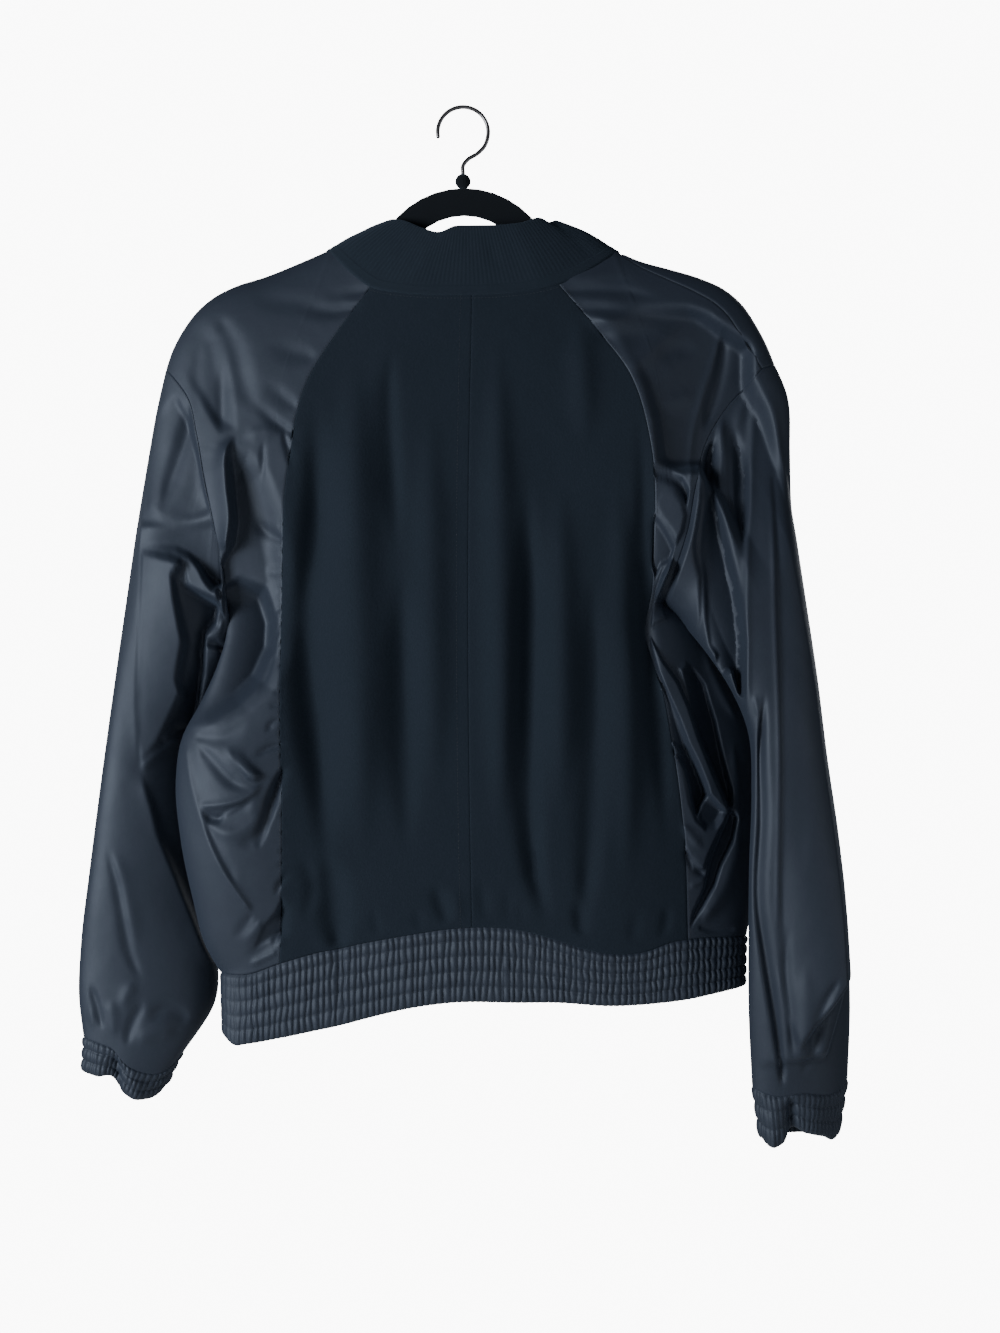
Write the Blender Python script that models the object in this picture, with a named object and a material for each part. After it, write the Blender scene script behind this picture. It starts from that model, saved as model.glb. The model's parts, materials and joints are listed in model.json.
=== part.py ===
"""A satin and crepe bomber jacket that hangs, zip closed, on a slim hanger.

Frame: metres, +Z up. The origin is the inside of the hanger hook's crown, where a
rail carries it. The jacket's back faces -Y and its zip faces +Y; left and right are
as seen from the back, so left is -X. Sizes and tables are in millimetres.
"""

import math

import bmesh
import bpy
import numpy as np

MM = 0.001
BACK, FRONT = -1, 1
LEFT, RIGHT = "left", "right"

# Cloth walls and the room at seams
SATIN_WALL = 1.2
CREPE_WALL = 1.6
RIB_WALL = 2.5
SHIRRED_WALL = 2.6
SEAM_GAP = 0.34
INNER_SETBACK = 0.45  # a wall's inner side ends this much further from its seam

# Seams of the body from the neck to the hem band: x, z
CENTRE_BACK = ((8, -155.5), (5, -328), (6, -575), (8, -685))
PRINCESS = {
    LEFT: ((-74, -149), (-102, -188), (-129, -233), (-145, -309), (-150, -402),
           (-150, -516), (-148, -612), (-151, -714)),
    RIGHT: ((77, -147), (110, -186), (140, -228), (156, -284), (159, -379),
            (172, -513), (184, -607), (188, -695)),
}
SIDE_SEAM = {
    LEFT: ((-199, -417), (-203, -440), (-211, -467), (-223, -497), (-235, -528),
           (-239, -563), (-235, -612), (-225, -663), (-215, -702), (-203, -724)),
    RIGHT: ((168, -415), (181, -426), (195, -441), (210, -462), (228, -492), (242, -526),
            (250, -570), (251, -615), (247, -660), (240, -696)),
}
SHOULDER = {
    LEFT: ((-109, -117), (-134, -128), (-166, -141), (-191, -149), (-208, -157.5),
           (-223, -170), (-235, -186), (-244, -203), (-249.5, -219)),
    RIGHT: ((126, -118), (147, -127), (172, -134), (199, -142), (219, -151),
            (234, -163.5), (246, -181), (256, -200), (262, -215)),
}
# How far the right front wraps over the shoulder on to the back: share of the shoulder, wrap
SHOULDER_WRAP = ((0, 0), (0.25, 9), (0.55, 16), (0.8, 17), (1, 13))
# Armholes from the shoulder point, or the back of the wrap, to the underarm: x, z
ARMHOLE = {
    (LEFT, BACK): ((-249.5, -219), (-240, -229), (-229, -244), (-221, -274),
                   (-214, -312), (-205, -355), (-199, -391), (-199, -417)),
    (LEFT, FRONT): ((-249.5, -219), (-238, -234), (-222, -255), (-208, -285),
                    (-199, -320), (-193, -355), (-192, -390), (-199, -417)),
    (RIGHT, BACK): ((249.5, -220), (240, -231), (224, -248), (206, -276),
                    (194, -315), (186, -357), (175, -392), (168, -415)),
    (RIGHT, FRONT): ((262, -215), (250, -236), (232, -258), (207, -294),
                     (190, -335), (175, -372), (165, -398), (168, -415)),
}
# Neck seam: z at x
NECK_BACK = ((-109, -117), (-93, -134), (-74, -149), (-57, -153), (-36, -155),
             (0, -155.5), (31, -154.6), (56, -152), (77, -147), (98, -137), (126, -118))
NECK_FRONT = ((-109, -117), (-92, -144), (-68, -168), (-36, -189), (5, -199),
              (47, -191), (81, -170), (107, -145), (126, -118))
# Hem band: z at x
HEM_TOP = {
    BACK: ((-203, -724), (-181, -724), (-151, -714), (-124, -706), (-92, -699), (-43, -690),
           (-10, -685), (48, -686.5), (76, -694), (100, -702), (130, -707), (152, -705),
           (175, -697.5), (200, -695), (240, -696)),
    FRONT: ((-203, -724), (-150, -714), (-90, -705), (5, -696), (110, -699),
            (180, -698), (240, -696)),
}
HEM_BOTTOM = {
    BACK: ((-203, -772), (-190, -783), (-181, -782), (-154, -777), (-117, -769), (-80, -760),
           (-43, -751.5), (-10, -747), (48, -747), (76, -747), (125, -750), (162, -748.5),
           (191, -745.5), (216, -741), (240, -737)),
    FRONT: ((-203, -772), (-150, -770), (-90, -761), (5, -744), (110, -744),
            (180, -742), (240, -737)),
}

# The body's half depth: z, behind, in front
HALF_DEPTH = ((-90, 21, 21), (-160, 26, 25), (-250, 31, 29), (-350, 34, 32), (-450, 36, 34),
              (-560, 39, 37), (-640, 40, 38), (-690, 33, 31), (-725, 27, 26), (-790, 25, 24))
SHOULDER_REACH = 120  # the cloth rounds over the shoulders within this much
SIDE_REACH = 72  # and round the sides within this much
OVER_THE_NECK = ((-62, -93), (0, -86), (79, -93))  # the shoulder line carried over the neck
# How far the body's sides swing back or forward past the sleeves: z, left, right
SIDE_SWING = ((-416, 0, 0), (-432, -6, 8), (-450, -10, 14), (-500, -14, 20), (-560, -16, 22),
              (-640, -15, 22), (-700, -9, 18), (-740, -6, 12), (-790, -4, 10))
SWING_START, SWING_WIDTH = 110, 110

# Sleeves from the armhole to the cuff: outer x, z, inner x, z, outer y, inner y, half depth
SLEEVE = {
    LEFT: ((-249.5, -219, -199, -417, 0, 0, 28),
           (-257, -252, -201, -428, 0, 8, 29),
           (-265, -298, -203, -443, -1, 19, 30),
           (-273.5, -352, -207, -466, -2, 24, 31),
           (-281, -405, -213, -495, -3, 28, 31),
           (-291.5, -478, -220, -537, -3, 32, 30),
           (-302.5, -557, -221, -596, -3, 34, 28),
           (-313, -637, -215, -662, -2, 32, 27),
           (-321, -703, -209, -714, 0, 27, 26),
           (-322.5, -745, -212, -755, 0, 24, 25),
           (-319, -779.5, -237, -793, 2, 18, 21)),
    RIGHT: ((249.5, -220, 168, -415, -12, 0, 28),
            (267, -246, 179, -426, -10, -8, 31),
            (274, -288, 190, -440, -7, -20, 34),
            (281, -342, 205, -461, -3, -30, 36),
            (289, -405, 223, -491, 1, -40, 36),
            (297, -480, 236, -530, 4, -48, 34),
            (304.5, -540, 237, -573, 6, -52, 32),
            (315, -613, 235, -632, 6, -52, 30),
            (322.5, -682, 235, -691, 5, -46, 29),
            (325.5, -750, 236, -754, 3, -38, 28),
            (323, -814, 240, -816, 0, -26, 24)),
}
SLEEVE_HEAD = 150  # the sleeve leaves the armhole's own shape within this much
# Cuff bottoms: outer x, z, inner x, z, outer y, inner y, half depth, drop of the middle
CUFF_BOTTOM = {
    LEFT: (-321, -808, -250, -822, 4, 16, 18, 7),
    RIGHT: (316, -861, 246, -859, -2, -24, 20, 4),
}

# Largest folds: x, z at each end, width, height (a trough is below 0)
BODY_FOLDS = {
    BACK: ((-127, -270, -124, -698, 15, -6), (-89, -300, -92, -690, 20, 4),
           (-53, -300, -56, -680, 16, -3), (52, -330, 58, -670, 15, -5),
           (84, -340, 92, -690, 18, 4), (-204, -169, -140, -274, 16, -3),
           (-194, -278, -196, -350, 12, 5), (-178, -312, -180, -513, 18, -7),
           (-235, -534, -177, -675, 13, 6), (-221, -590, -150, -547, 13, -5),
           (-185, -640, -152, -600, 12, -4), (220, -177, 195, -290, 12, 5),
           (195, -290, 188, -350, 12, 4), (160, -458, 199, -543, 13, 7),
           (199, -543, 228, -597, 12, 6), (228, -597, 196, -645, 12, 5),
           (172, -540, 196, -610, 12, -6), (200, -200, 150, -178, 14, -3)),
    FRONT: ((-95, -240, -110, -660, 20, -5), (-160, -300, -172, -640, 18, -5),
            (-60, -280, -66, -680, 16, 3), (70, -260, 76, -670, 18, -4),
            (120, -280, 128, -680, 18, 4), (165, -420, 205, -610, 14, -6),
            (-205, -180, -130, -280, 16, -3), (205, -190, 140, -290, 16, -3)),
}
SLEEVE_FOLDS = {
    (LEFT, BACK): ((-273, -330, -275, -553, 12, 4), (-242, -391, -207, -417, 11, 6),
                   (-226, -402, -232, -452, 14, -7), (-272, -556, -210, -730, 13, 7),
                   (-252, -560, -216, -680, 10, -6), (-296, -740, -262, -700, 12, -4),
                   (-262, -770, -240, -735, 12, -4)),
    (LEFT, FRONT): ((-262, -360, -225, -420, 14, -5), (-285, -480, -240, -560, 14, -5),
                    (-290, -600, -250, -680, 14, 5), (-300, -720, -262, -760, 12, -4)),
    (RIGHT, BACK): ((263, -312, 263, -748, 12, 4), (210, -290, 226, -420, 14, -6),
                    (240, -270, 238, -440, 10, -5), (300, -560, 296, -700, 14, -4),
                    (275, -720, 285, -800, 12, -5)),
    (RIGHT, FRONT): ((215, -370, 262, -420, 14, -5), (250, -500, 290, -560, 14, -5),
                     (255, -620, 295, -690, 14, 5), (262, -720, 292, -790, 12, -4)),
}

# Rows from the top to the underarm, then to the hem, as shares; columns over the shoulder
ARMHOLE_ROWS = (0, 0.0025, 0.011, 0.035, 0.075, 0.13, 0.19, 0.25, 0.31, 0.358, 0.385)
SIDE_ROWS = (0.403, 0.43, 0.475, 0.54, 0.61, 0.69, 0.77, 0.85, 0.93, 1)
UNDERARM = ARMHOLE_ROWS[-1]
SHOULDER_COLUMNS = (0, 0.16, 0.34, 0.51, 0.67, 0.81, 0.9, 0.96, 1)
NECK_SHARE = {BACK: 0.2, FRONT: 0.45}  # share of a side panel's top edge that is neck seam
NECK_COLUMNS = {BACK: 2, FRONT: 4}
CENTRE_COLUMNS = 6
TOP_BLEND = 0.42  # share of a panel's height over which its top edge shapes it
WRAP_ROWS = (-1, -0.5)
WRAP_STEP = 0.006  # room that the wrap's rows keep where the wrap runs out
WRAP_SETTLED = 2.5  # a wrap this wide needs none
UNDERARM_Z = -416  # the row at the underarm is level across the body

# Shirring and ribs
HEM_WAVES = 140
HEM_CHANNELS = 5
CUFF_WAVES = 24
CUFF_CHANNELS = 3
WAVE_HEIGHT = 1.1
STITCH_DEPTH = 0.5
COLLAR_RIBS = 104
RIB_HEIGHT = 0.45
COLLAR_ROLL = 1.5
# Collar's top edge: x, y, z from the zip round the back to the zip
COLLAR_TOP = {
    "front_left": ((0.8, 21, -150), (-24, 19, -134), (-46, 13, -108), (-59, 6.5, -96), (-62, 0, -93)),
    "back_left": ((-62, 0, -93), (-60, -6, -93.5), (-50, -12, -96), (-35, -17, -103), (-20, -20.5, -107.4),
                  (-7, -22, -103), (6, -22, -102.5)),
    "back_right": ((6, -22, -102.5), (30, -22, -102), (50, -20, -99.5), (66, -13, -94),
                   (73, -9, -96.5), (78.5, -4, -94), (79, 0, -93.6)),
    "front_right": ((79, 0, -93.6), (77, 6, -97), (64, 13, -109), (40, 19, -134), (9.2, 21, -150)),
}

# Zip
ZIP_X = 5
EDGE_TO_ZIP = 4  # from the zip's middle to each front's edge
CHAIN_WIDTH, CHAIN_DEPTH = 5.6, 2.4
TAPE_WIDTH, TAPE_WALL = 12, 1.0
ZIP_ROWS = 16
SLIDER_WIDTH, SLIDER_LENGTH, SLIDER_PLATE = 9, 14, 1.8
SLIDER_TOP = -203
BRIDGE_WIDTH, BRIDGE_WIRE, BRIDGE_HOLE, BRIDGE_RISE = 2.2, 1.1, 4.2, 2.9
TAB_WIDTH, TAB_LENGTH, TAB_WALL = 7, 27, 1.2
TAB_BAR, TAB_SLOT_WIDTH, TAB_SLOT_LENGTH = 1.2, 3.4, 5.0

# Hanger
HANGER_WALL = 4.6
ARCH_CENTRE = (1, -143.7)
ARCH_OUTER, ARCH_INNER = 77, 54
ARCH_ENDS = {LEFT: (165, 172), RIGHT: (15, 8)}  # degrees, at its outer and inner edge
ARM_TOP = {LEFT: (-166, -144.2, 0.41), RIGHT: (147, -130.2, -0.306)}  # x, z, slope
ARM_SHOULDER = {LEFT: -140, RIGHT: 150}  # x where the arm's straight top begins
ARM_REACH = 201
TIP_HEIGHT = 15
BOSS_RADIUS, BOSS_Z = 6.5, -61
HOOK_WIRE = 3.4
HOOK_INNER_RADIUS = 19.5
HOOK_NECK = ((0, -54.2), (0, -48), (4, -42.5), (12, -37.5), (18.5, -30.5))  # x, z of its bend
HOOK_TIP_ANGLE = 190

COLOURS = {  # red, green, blue, roughness, metallic
    "satin": (0.018, 0.023, 0.034, 0.38, 0),
    "crepe": (0.013, 0.019, 0.026, 0.9, 0),
    "rib": (0.016, 0.022, 0.03, 0.85, 0),
    "tape": (0.01, 0.011, 0.013, 0.8, 0),
    "metal": (0.18, 0.18, 0.19, 0.35, 1),
    "velvet": (0.008, 0.008, 0.009, 0.95, 0),
    "wire": (0.12, 0.12, 0.13, 0.3, 1),
}


def grid_of(rows):
    """A table as an array of floats."""
    return np.array(rows, float)


class SmoothLine:
    """A smooth curve through a table's rows, read by the share of its length."""

    def __init__(self, rows, keys=None):
        self.rows = grid_of(rows)
        if keys is None:
            steps = np.linalg.norm(np.diff(self.rows, axis=0), axis=1)
            keys = np.concatenate(([0.0], np.cumsum(steps))) / steps.sum()
        self.keys = np.asarray(keys, float)
        widths = np.diff(self.keys)[:, None]
        slopes = np.diff(self.rows, axis=0) / widths
        inner = (slopes[:-1] * widths[1:] + slopes[1:] * widths[:-1]) / (widths[1:] + widths[:-1])
        self.slopes = np.vstack((slopes[:1], inner, slopes[-1:]))

    def at(self, key):
        key = np.clip(np.asarray(key, float), self.keys[0], self.keys[-1])
        cell = np.clip(np.searchsorted(self.keys, key, side="right") - 1, 0, len(self.keys) - 2)
        width = (self.keys[cell + 1] - self.keys[cell])[..., None]
        part = (key - self.keys[cell])[..., None] / width
        start, end = self.rows[cell], self.rows[cell + 1]
        start_slope, end_slope = self.slopes[cell] * width, self.slopes[cell + 1] * width
        return ((2 * part**3 - 3 * part**2 + 1) * start + (part**3 - 2 * part**2 + part) * start_slope
                + (3 * part**2 - 2 * part**3) * end + (part**3 - part**2) * end_slope)


def keyed(rows):
    """A smooth line read by the table's first column, which may fall or rise."""
    table = grid_of(sorted(rows))
    return SmoothLine(table[:, 1:], table[:, 0])


def ease(share):
    """0 to 1 without corners."""
    share = np.clip(share, 0, 1)
    return share * share * (3 - 2 * share)


def rounding(distance, reach):
    """0 at an edge and 1 from the reach inwards, along a quarter of an ellipse."""
    short = 1 - np.clip(distance / reach, 0, 1)
    return np.sqrt(1 - short**2)


def distance_to(line, x, z):
    """The shortest distance from points to a line of x, z rows."""
    starts, spans = line[:-1], np.diff(line, axis=0)
    places = np.stack((x, z), axis=-1)[..., None, :]
    along = ((places - starts) * spans).sum(-1) / (spans**2).sum(-1)
    nearest = starts + np.clip(along, 0, 1)[..., None] * spans
    return np.linalg.norm(places - nearest, axis=-1).min(-1)


def fold_height(x, z, folds):
    """The height that the folds add at points, a trough taking away."""
    height = np.zeros(np.broadcast(x, z).shape)
    for start_x, start_z, end_x, end_z, width, rise in folds:
        off = distance_to(grid_of(((start_x, start_z), (end_x, end_z))), x, z)
        height += rise * np.exp(-((off / width) ** 2))
    return height


def dense(rows, count=60):
    return SmoothLine(rows).at(np.linspace(0, 1, count))


def outline_over_the_top():
    """The jacket's outline from one sleeve over the shoulders to the other."""
    left_sleeve = grid_of(SLEEVE[LEFT])[1:8, :2][::-1]
    right_sleeve = grid_of(SLEEVE[RIGHT])[1:8, :2]
    shoulders = dense(SHOULDER[LEFT], 24)[::-1], dense(SHOULDER[RIGHT], 24)
    return np.vstack((left_sleeve, shoulders[0], grid_of(OVER_THE_NECK), shoulders[1], right_sleeve))


def side_line(side):
    """The side seam carried down the hem band."""
    seam = dense(SIDE_SEAM[side], 40)
    end_x = seam[-1, 0]
    return np.vstack((seam, ((end_x, keyed(HEM_BOTTOM[BACK]).at(end_x)[0]),)))


TOP_OUTLINE = outline_over_the_top()
SIDE_LINE = {side: side_line(side) for side in (LEFT, RIGHT)}
DEPTHS = keyed(HALF_DEPTH)
SWINGS = keyed(SIDE_SWING)


def body_y(x, z, face):
    """The y of the body's outer cloth at x, z on one face."""
    from_top = rounding(distance_to(TOP_OUTLINE, x, z), SHOULDER_REACH)
    from_left = rounding(distance_to(SIDE_LINE[LEFT], x, z), SIDE_REACH)
    from_right = rounding(distance_to(SIDE_LINE[RIGHT], x, z), SIDE_REACH)
    fullness = from_top * from_left * from_right
    depth = DEPTHS.at(z)[..., 0 if face == BACK else 1]
    swing = SWINGS.at(z)
    middle = (swing[..., 0] * ease((-x - SWING_START) / SWING_WIDTH)
              + swing[..., 1] * ease((x - SWING_START) / SWING_WIDTH))
    return middle + face * fullness * (depth + fold_height(x, z, BODY_FOLDS[face]))


class Panel:
    """A four-sided piece of one face: its edges in x, z, blended between them."""

    def __init__(self, face, top, bottom, inner, outer):
        self.face = face
        self.top, self.bottom, self.inner, self.outer = top, bottom, inner, outer

    def flat(self, across, down):
        """x, z at shares across and down the panel."""
        a = across[..., None]
        near_top = np.clip(1 - down / TOP_BLEND, 0, 1)[..., None] ** 2
        near_bottom = ease((down - TOP_BLEND) / (1 - TOP_BLEND))[..., None]
        between = (1 - a) * self.inner(down) + a * self.outer(down)
        for edge, near in ((self.top, near_top), (self.bottom, near_bottom)):
            straight = (1 - a) * edge(across * 0) + a * edge(across * 0 + 1)
            between = between + near * (edge(across) - straight)
        return between

    def place(self, across, down):
        """x, y, z at shares across and down the panel."""
        flat = self.flat(across, down)
        y = body_y(flat[..., 0], flat[..., 1], self.face)
        return np.stack((flat[..., 0], y, flat[..., 1]), axis=-1)


class WrappedPanel(Panel):
    """A front that wraps over its shoulder on to the back; down runs from -1, the
    seam, over 0, the shoulder's ridge, to 1, the hem."""

    def __init__(self, *edges, wrap):
        super().__init__(*edges)
        self.wrap = wrap  # across to x, z from the ridge to the seam, and how much of it there is

    def place(self, across, down):
        shift, amount = self.wrap(across)
        room = WRAP_STEP * (1 - amount)
        over = np.clip(-down, 0, 1)
        low = np.clip(down, 0, 1)
        main = np.where(down < 0, room * (1 - over), room + (1 - room) * low)
        flat = self.flat(across, main) + shift * over[..., None]
        behind = (over > 0) & (amount > 0)
        y = np.where(behind, body_y(flat[..., 0], flat[..., 1], BACK),
                     body_y(flat[..., 0], flat[..., 1], FRONT))
        return np.stack((flat[..., 0], y, flat[..., 1]), axis=-1)


def inward(line, share):
    """The unit direction across a shoulder line, down into the jacket."""
    step = line.at(np.clip(share + 0.01, 0, 1)) - line.at(np.clip(share - 0.01, 0, 1))
    across = np.stack((step[..., 1], -step[..., 0]), axis=-1)
    across = across / np.linalg.norm(across, axis=-1, keepdims=True)
    return np.where(across[..., 1:] > 0, -across, across)


RIDGE = {side: SmoothLine(SHOULDER[side]) for side in (LEFT, RIGHT)}
WRAP = keyed(SHOULDER_WRAP)


def wrap_at(side, share):
    """x, z from the shoulder's ridge to its seam."""
    if side == LEFT:
        return np.zeros((*np.shape(share), 2))
    return inward(RIDGE[side], share) * WRAP.at(share)


def on_curve(table, from_x, to_x):
    """A stretch of a z-at-x curve as a function of share."""
    curve = keyed(table)

    def stretch(share):
        x = from_x + (to_x - from_x) * share
        return np.stack((x, curve.at(x)[..., 0]), axis=-1)

    return stretch


def rail(rows, end=None):
    """A seam as a function of share, its last row dropped to the hem line."""
    rows = [tuple(row) for row in rows]
    if end is not None:
        rows[-1] = (rows[-1][0], float(keyed(end).at(rows[-1][0])[0]))
    line = SmoothLine(rows)
    places = line.at(np.linspace(0, 1, 101))
    level = float(np.interp(UNDERARM_Z, places[::-1, 1], np.linspace(1, 0, 101)))
    pace = keyed(((0, 0), (UNDERARM, level), (1, 1)))
    return lambda share: line.at(pace.at(share)[..., 0])


def outer_rail(side, face):
    """A side panel's outer edge: the armhole, then the side seam."""
    armhole, seam = SmoothLine(ARMHOLE[side, face]), SmoothLine(SIDE_SEAM[side])

    def edge(share):
        upper = armhole.at(share / UNDERARM)
        lower = seam.at((share - UNDERARM) / (1 - UNDERARM))
        return np.where((share < UNDERARM)[..., None], upper, lower)

    return edge


def side_top(side, face, corner_x, neck):
    """A side panel's top edge: the neck seam, then the shoulder."""
    split = NECK_SHARE[face]
    shoulder_x = SHOULDER[side][0][0]
    neck_part = on_curve(neck, corner_x, shoulder_x)

    def edge(share):
        over = (share - split) / (1 - split)
        shoulder = RIDGE[side].at(over)
        if face == BACK:
            shoulder = shoulder + wrap_at(side, np.clip(over, 0, 1))
        return np.where((share < split)[..., None], neck_part(np.clip(share / split, 0, 1)), shoulder)

    return edge


def back_centre(side):
    seam = PRINCESS[side]
    middle_x = CENTRE_BACK[0][0]
    return Panel(BACK, on_curve(NECK_BACK, middle_x, seam[0][0]),
                 on_curve(HEM_TOP[BACK], CENTRE_BACK[-1][0], seam[-1][0]),
                 rail(CENTRE_BACK, HEM_TOP[BACK]), rail(seam, HEM_TOP[BACK]))


def back_side(side):
    seam = PRINCESS[side]
    return Panel(BACK, side_top(side, BACK, seam[0][0], NECK_BACK),
                 on_curve(HEM_TOP[BACK], seam[-1][0], SIDE_SEAM[side][-1][0]),
                 rail(seam, HEM_TOP[BACK]), outer_rail(side, BACK))


def front(side):
    edge_x = ZIP_X + (-EDGE_TO_ZIP if side == LEFT else EDGE_TO_ZIP)
    ends = [float(keyed(table).at(edge_x)[0]) for table in (NECK_FRONT, HEM_TOP[FRONT])]
    edges = (FRONT, side_top(side, FRONT, edge_x, NECK_FRONT),
             on_curve(HEM_TOP[FRONT], edge_x, SIDE_SEAM[side][-1][0]),
             rail(((edge_x, ends[0]), (edge_x, ends[1]))), outer_rail(side, FRONT))
    if side == LEFT:
        return Panel(*edges)
    split = NECK_SHARE[FRONT]

    def wrap(across):
        over = np.clip((across - split) / (1 - split), 0, 1)
        return wrap_at(side, over), ease(WRAP.at(over)[..., 0] / WRAP_SETTLED)

    return WrappedPanel(*edges, wrap=wrap)


def columns(face):
    """The shares across a side panel, the shoulder's shared by back and front."""
    split = NECK_SHARE[face]
    neck = np.linspace(0, split, NECK_COLUMNS[face] + 1)[:-1]
    return np.concatenate((neck, split + (1 - split) * grid_of(SHOULDER_COLUMNS)))


def unit(vectors):
    return vectors / np.maximum(np.linalg.norm(vectors, axis=-1, keepdims=True), 1e-9)


def panel_grid(panel, across, down):
    """Points and outward directions of a panel, rows from the top."""
    a, d = np.meshgrid(across, down)
    step = 0.002
    lowest = down[0]
    right = panel.place(np.clip(a + step, 0, 1), d) - panel.place(np.clip(a - step, 0, 1), d)
    below = (panel.place(a, np.clip(d + step, lowest, 1))
             - panel.place(a, np.clip(d - step, lowest, 1)))
    points = panel.place(a, d)
    normals = unit(np.cross(right, below))
    middle = normals[len(down) // 2, len(across) // 3]
    if middle[1] * panel.face < 0:
        normals = -normals
    return points, normals


def pulled_in(points, by, closed):
    """A grid whose borders are moved inwards along the cloth."""
    moved = points.copy()
    for edge, inner in ((0, 1), (-1, -2)):
        moved[edge] += by * unit(points[inner] - points[edge])
        if not closed:
            moved[:, edge] += by * unit(points[:, inner] - points[:, edge])
    return moved


def material_of(finish):
    """The Principled material of a finish, made once."""
    if finish in bpy.data.materials:
        return bpy.data.materials[finish]
    red, green, blue, roughness, metallic = COLOURS[finish]
    made = bpy.data.materials.new(finish)
    made.use_nodes = True
    shader = made.node_tree.nodes["Principled BSDF"]
    shader.inputs["Base Color"].default_value = (red, green, blue, 1)
    shader.inputs["Roughness"].default_value = roughness
    shader.inputs["Metallic"].default_value = metallic
    return made


def add_object(name, data, finish, parent):
    made = bpy.data.objects.new(name, data)
    if finish is not None:
        material = material_of(finish).copy()
        material.name = f"{name}_{finish}"
        data.materials.append(material)
    made.parent = parent
    bpy.context.scene.collection.objects.link(made)
    return made


def finish_mesh(bm, name):
    """A mesh from millimetres, its faces turned out."""
    bmesh.ops.recalc_face_normals(bm, faces=bm.faces)
    bmesh.ops.scale(bm, vec=(MM, MM, MM), verts=bm.verts)
    mesh = bpy.data.meshes.new(name)
    bm.to_mesh(mesh)
    bm.free()
    mesh.shade_smooth()
    mesh.set_sharp_from_angle(angle=math.radians(50))
    return mesh


def quads(bm, first, second, closed):
    """Faces between two rows of as many vertices."""
    count = len(first)
    for i in range(count if closed else count - 1):
        j = (i + 1) % count
        bm.faces.new((first[i], first[j], second[j], second[i]))


def zip_rows(bm, first, second, first_shares, second_shares):
    """Triangles between two open rows whose vertices stand at their own shares."""
    i = j = 0
    while i < len(first) - 1 or j < len(second) - 1:
        next_first = first_shares[i + 1] if i < len(first) - 1 else 2
        next_second = second_shares[j + 1] if j < len(second) - 1 else 2
        if next_first <= next_second:
            bm.faces.new((first[i], first[i + 1], second[j]))
            i += 1
        else:
            bm.faces.new((first[i], second[j + 1], second[j]))
            j += 1


def wall(name, points, normals, thickness, finish, parent, closed=False):
    """A cloth wall over a grid: outer points, inner points and its rims."""
    outer = pulled_in(points, SEAM_GAP / 2, closed)
    inner = pulled_in(points, SEAM_GAP / 2 + INNER_SETBACK, closed) - thickness * normals
    bm = bmesh.new()
    outside = [[bm.verts.new(place) for place in row] for row in outer]
    inside = [[bm.verts.new(place) for place in row] for row in inner]
    for upper, lower in zip(range(len(outside) - 1), range(1, len(outside))):
        quads(bm, outside[upper], outside[lower], closed)
        quads(bm, inside[lower], inside[upper], closed)
    for row in (0, -1):
        quads(bm, outside[row], inside[row], closed)
    if not closed:
        for column in (0, -1):
            quads(bm, [row[column] for row in outside], [row[column] for row in inside], False)
    bmesh.ops.triangulate(bm, faces=bm.faces)
    return add_object(name, finish_mesh(bm, name), finish, parent)


def sleeve_grid(side, loop):
    """Rings of the sleeve from the armhole's own loop of points to the cuff."""
    table = grid_of(SLEEVE[side])
    steps = np.linalg.norm(np.diff(loop[:, [0, 2]], axis=0, append=loop[:1, [0, 2]]), axis=1)
    underarm = int(np.argmin(loop[:, 2]))
    back = np.concatenate(([0], np.cumsum(steps[:underarm])))
    fore = np.concatenate(([0], np.cumsum(steps[underarm:])))[:-1]
    turns = np.concatenate((math.pi * back[:-1] / back[-1],
                            math.pi * (1 + fore / (fore[-1] + steps[-1]))))
    share = (1 - np.cos(turns)) / 2
    straight = table[0, 0:2] + (table[0, 2:4] - table[0, 0:2]) * share[:, None]
    bow = loop[:, [0, 2]] - straight
    travelled = np.concatenate(([0], np.cumsum(np.linalg.norm(np.diff(table[:, :2], axis=0), axis=1))))
    line = SmoothLine(table, travelled)
    rings = []
    for distance in travelled:
        outer_x, outer_z, inner_x, inner_z, outer_y, inner_y, depth = line.at(distance)
        held = 1 - ease(distance / SLEEVE_HEAD)
        x = outer_x + (inner_x - outer_x) * share + held * bow[:, 0]
        z = outer_z + (inner_z - outer_z) * share + held * bow[:, 1]
        face = np.where(turns < math.pi, BACK, FRONT)
        folds = np.where(turns < math.pi, fold_height(x, z, SLEEVE_FOLDS[side, BACK]),
                         fold_height(x, z, SLEEVE_FOLDS[side, FRONT]))
        own = outer_y + (inner_y - outer_y) * share + face * np.abs(np.sin(turns)) * (depth + folds)
        rings.append(np.stack((x, (1 - held) * own + held * loop[:, 1], z), axis=-1))
    rings[0] = loop
    return np.array(rings), turns


def tube_normals(rings):
    """Outward directions of a closed tube's grid."""
    around = np.roll(rings, -1, axis=1) - np.roll(rings, 1, axis=1)
    along = np.gradient(rings, axis=0)
    normals = unit(np.cross(around, along))
    centre = rings.mean(axis=1, keepdims=True)
    if ((rings - centre) * normals).sum() < 0:
        normals = -normals
    return normals


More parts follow.
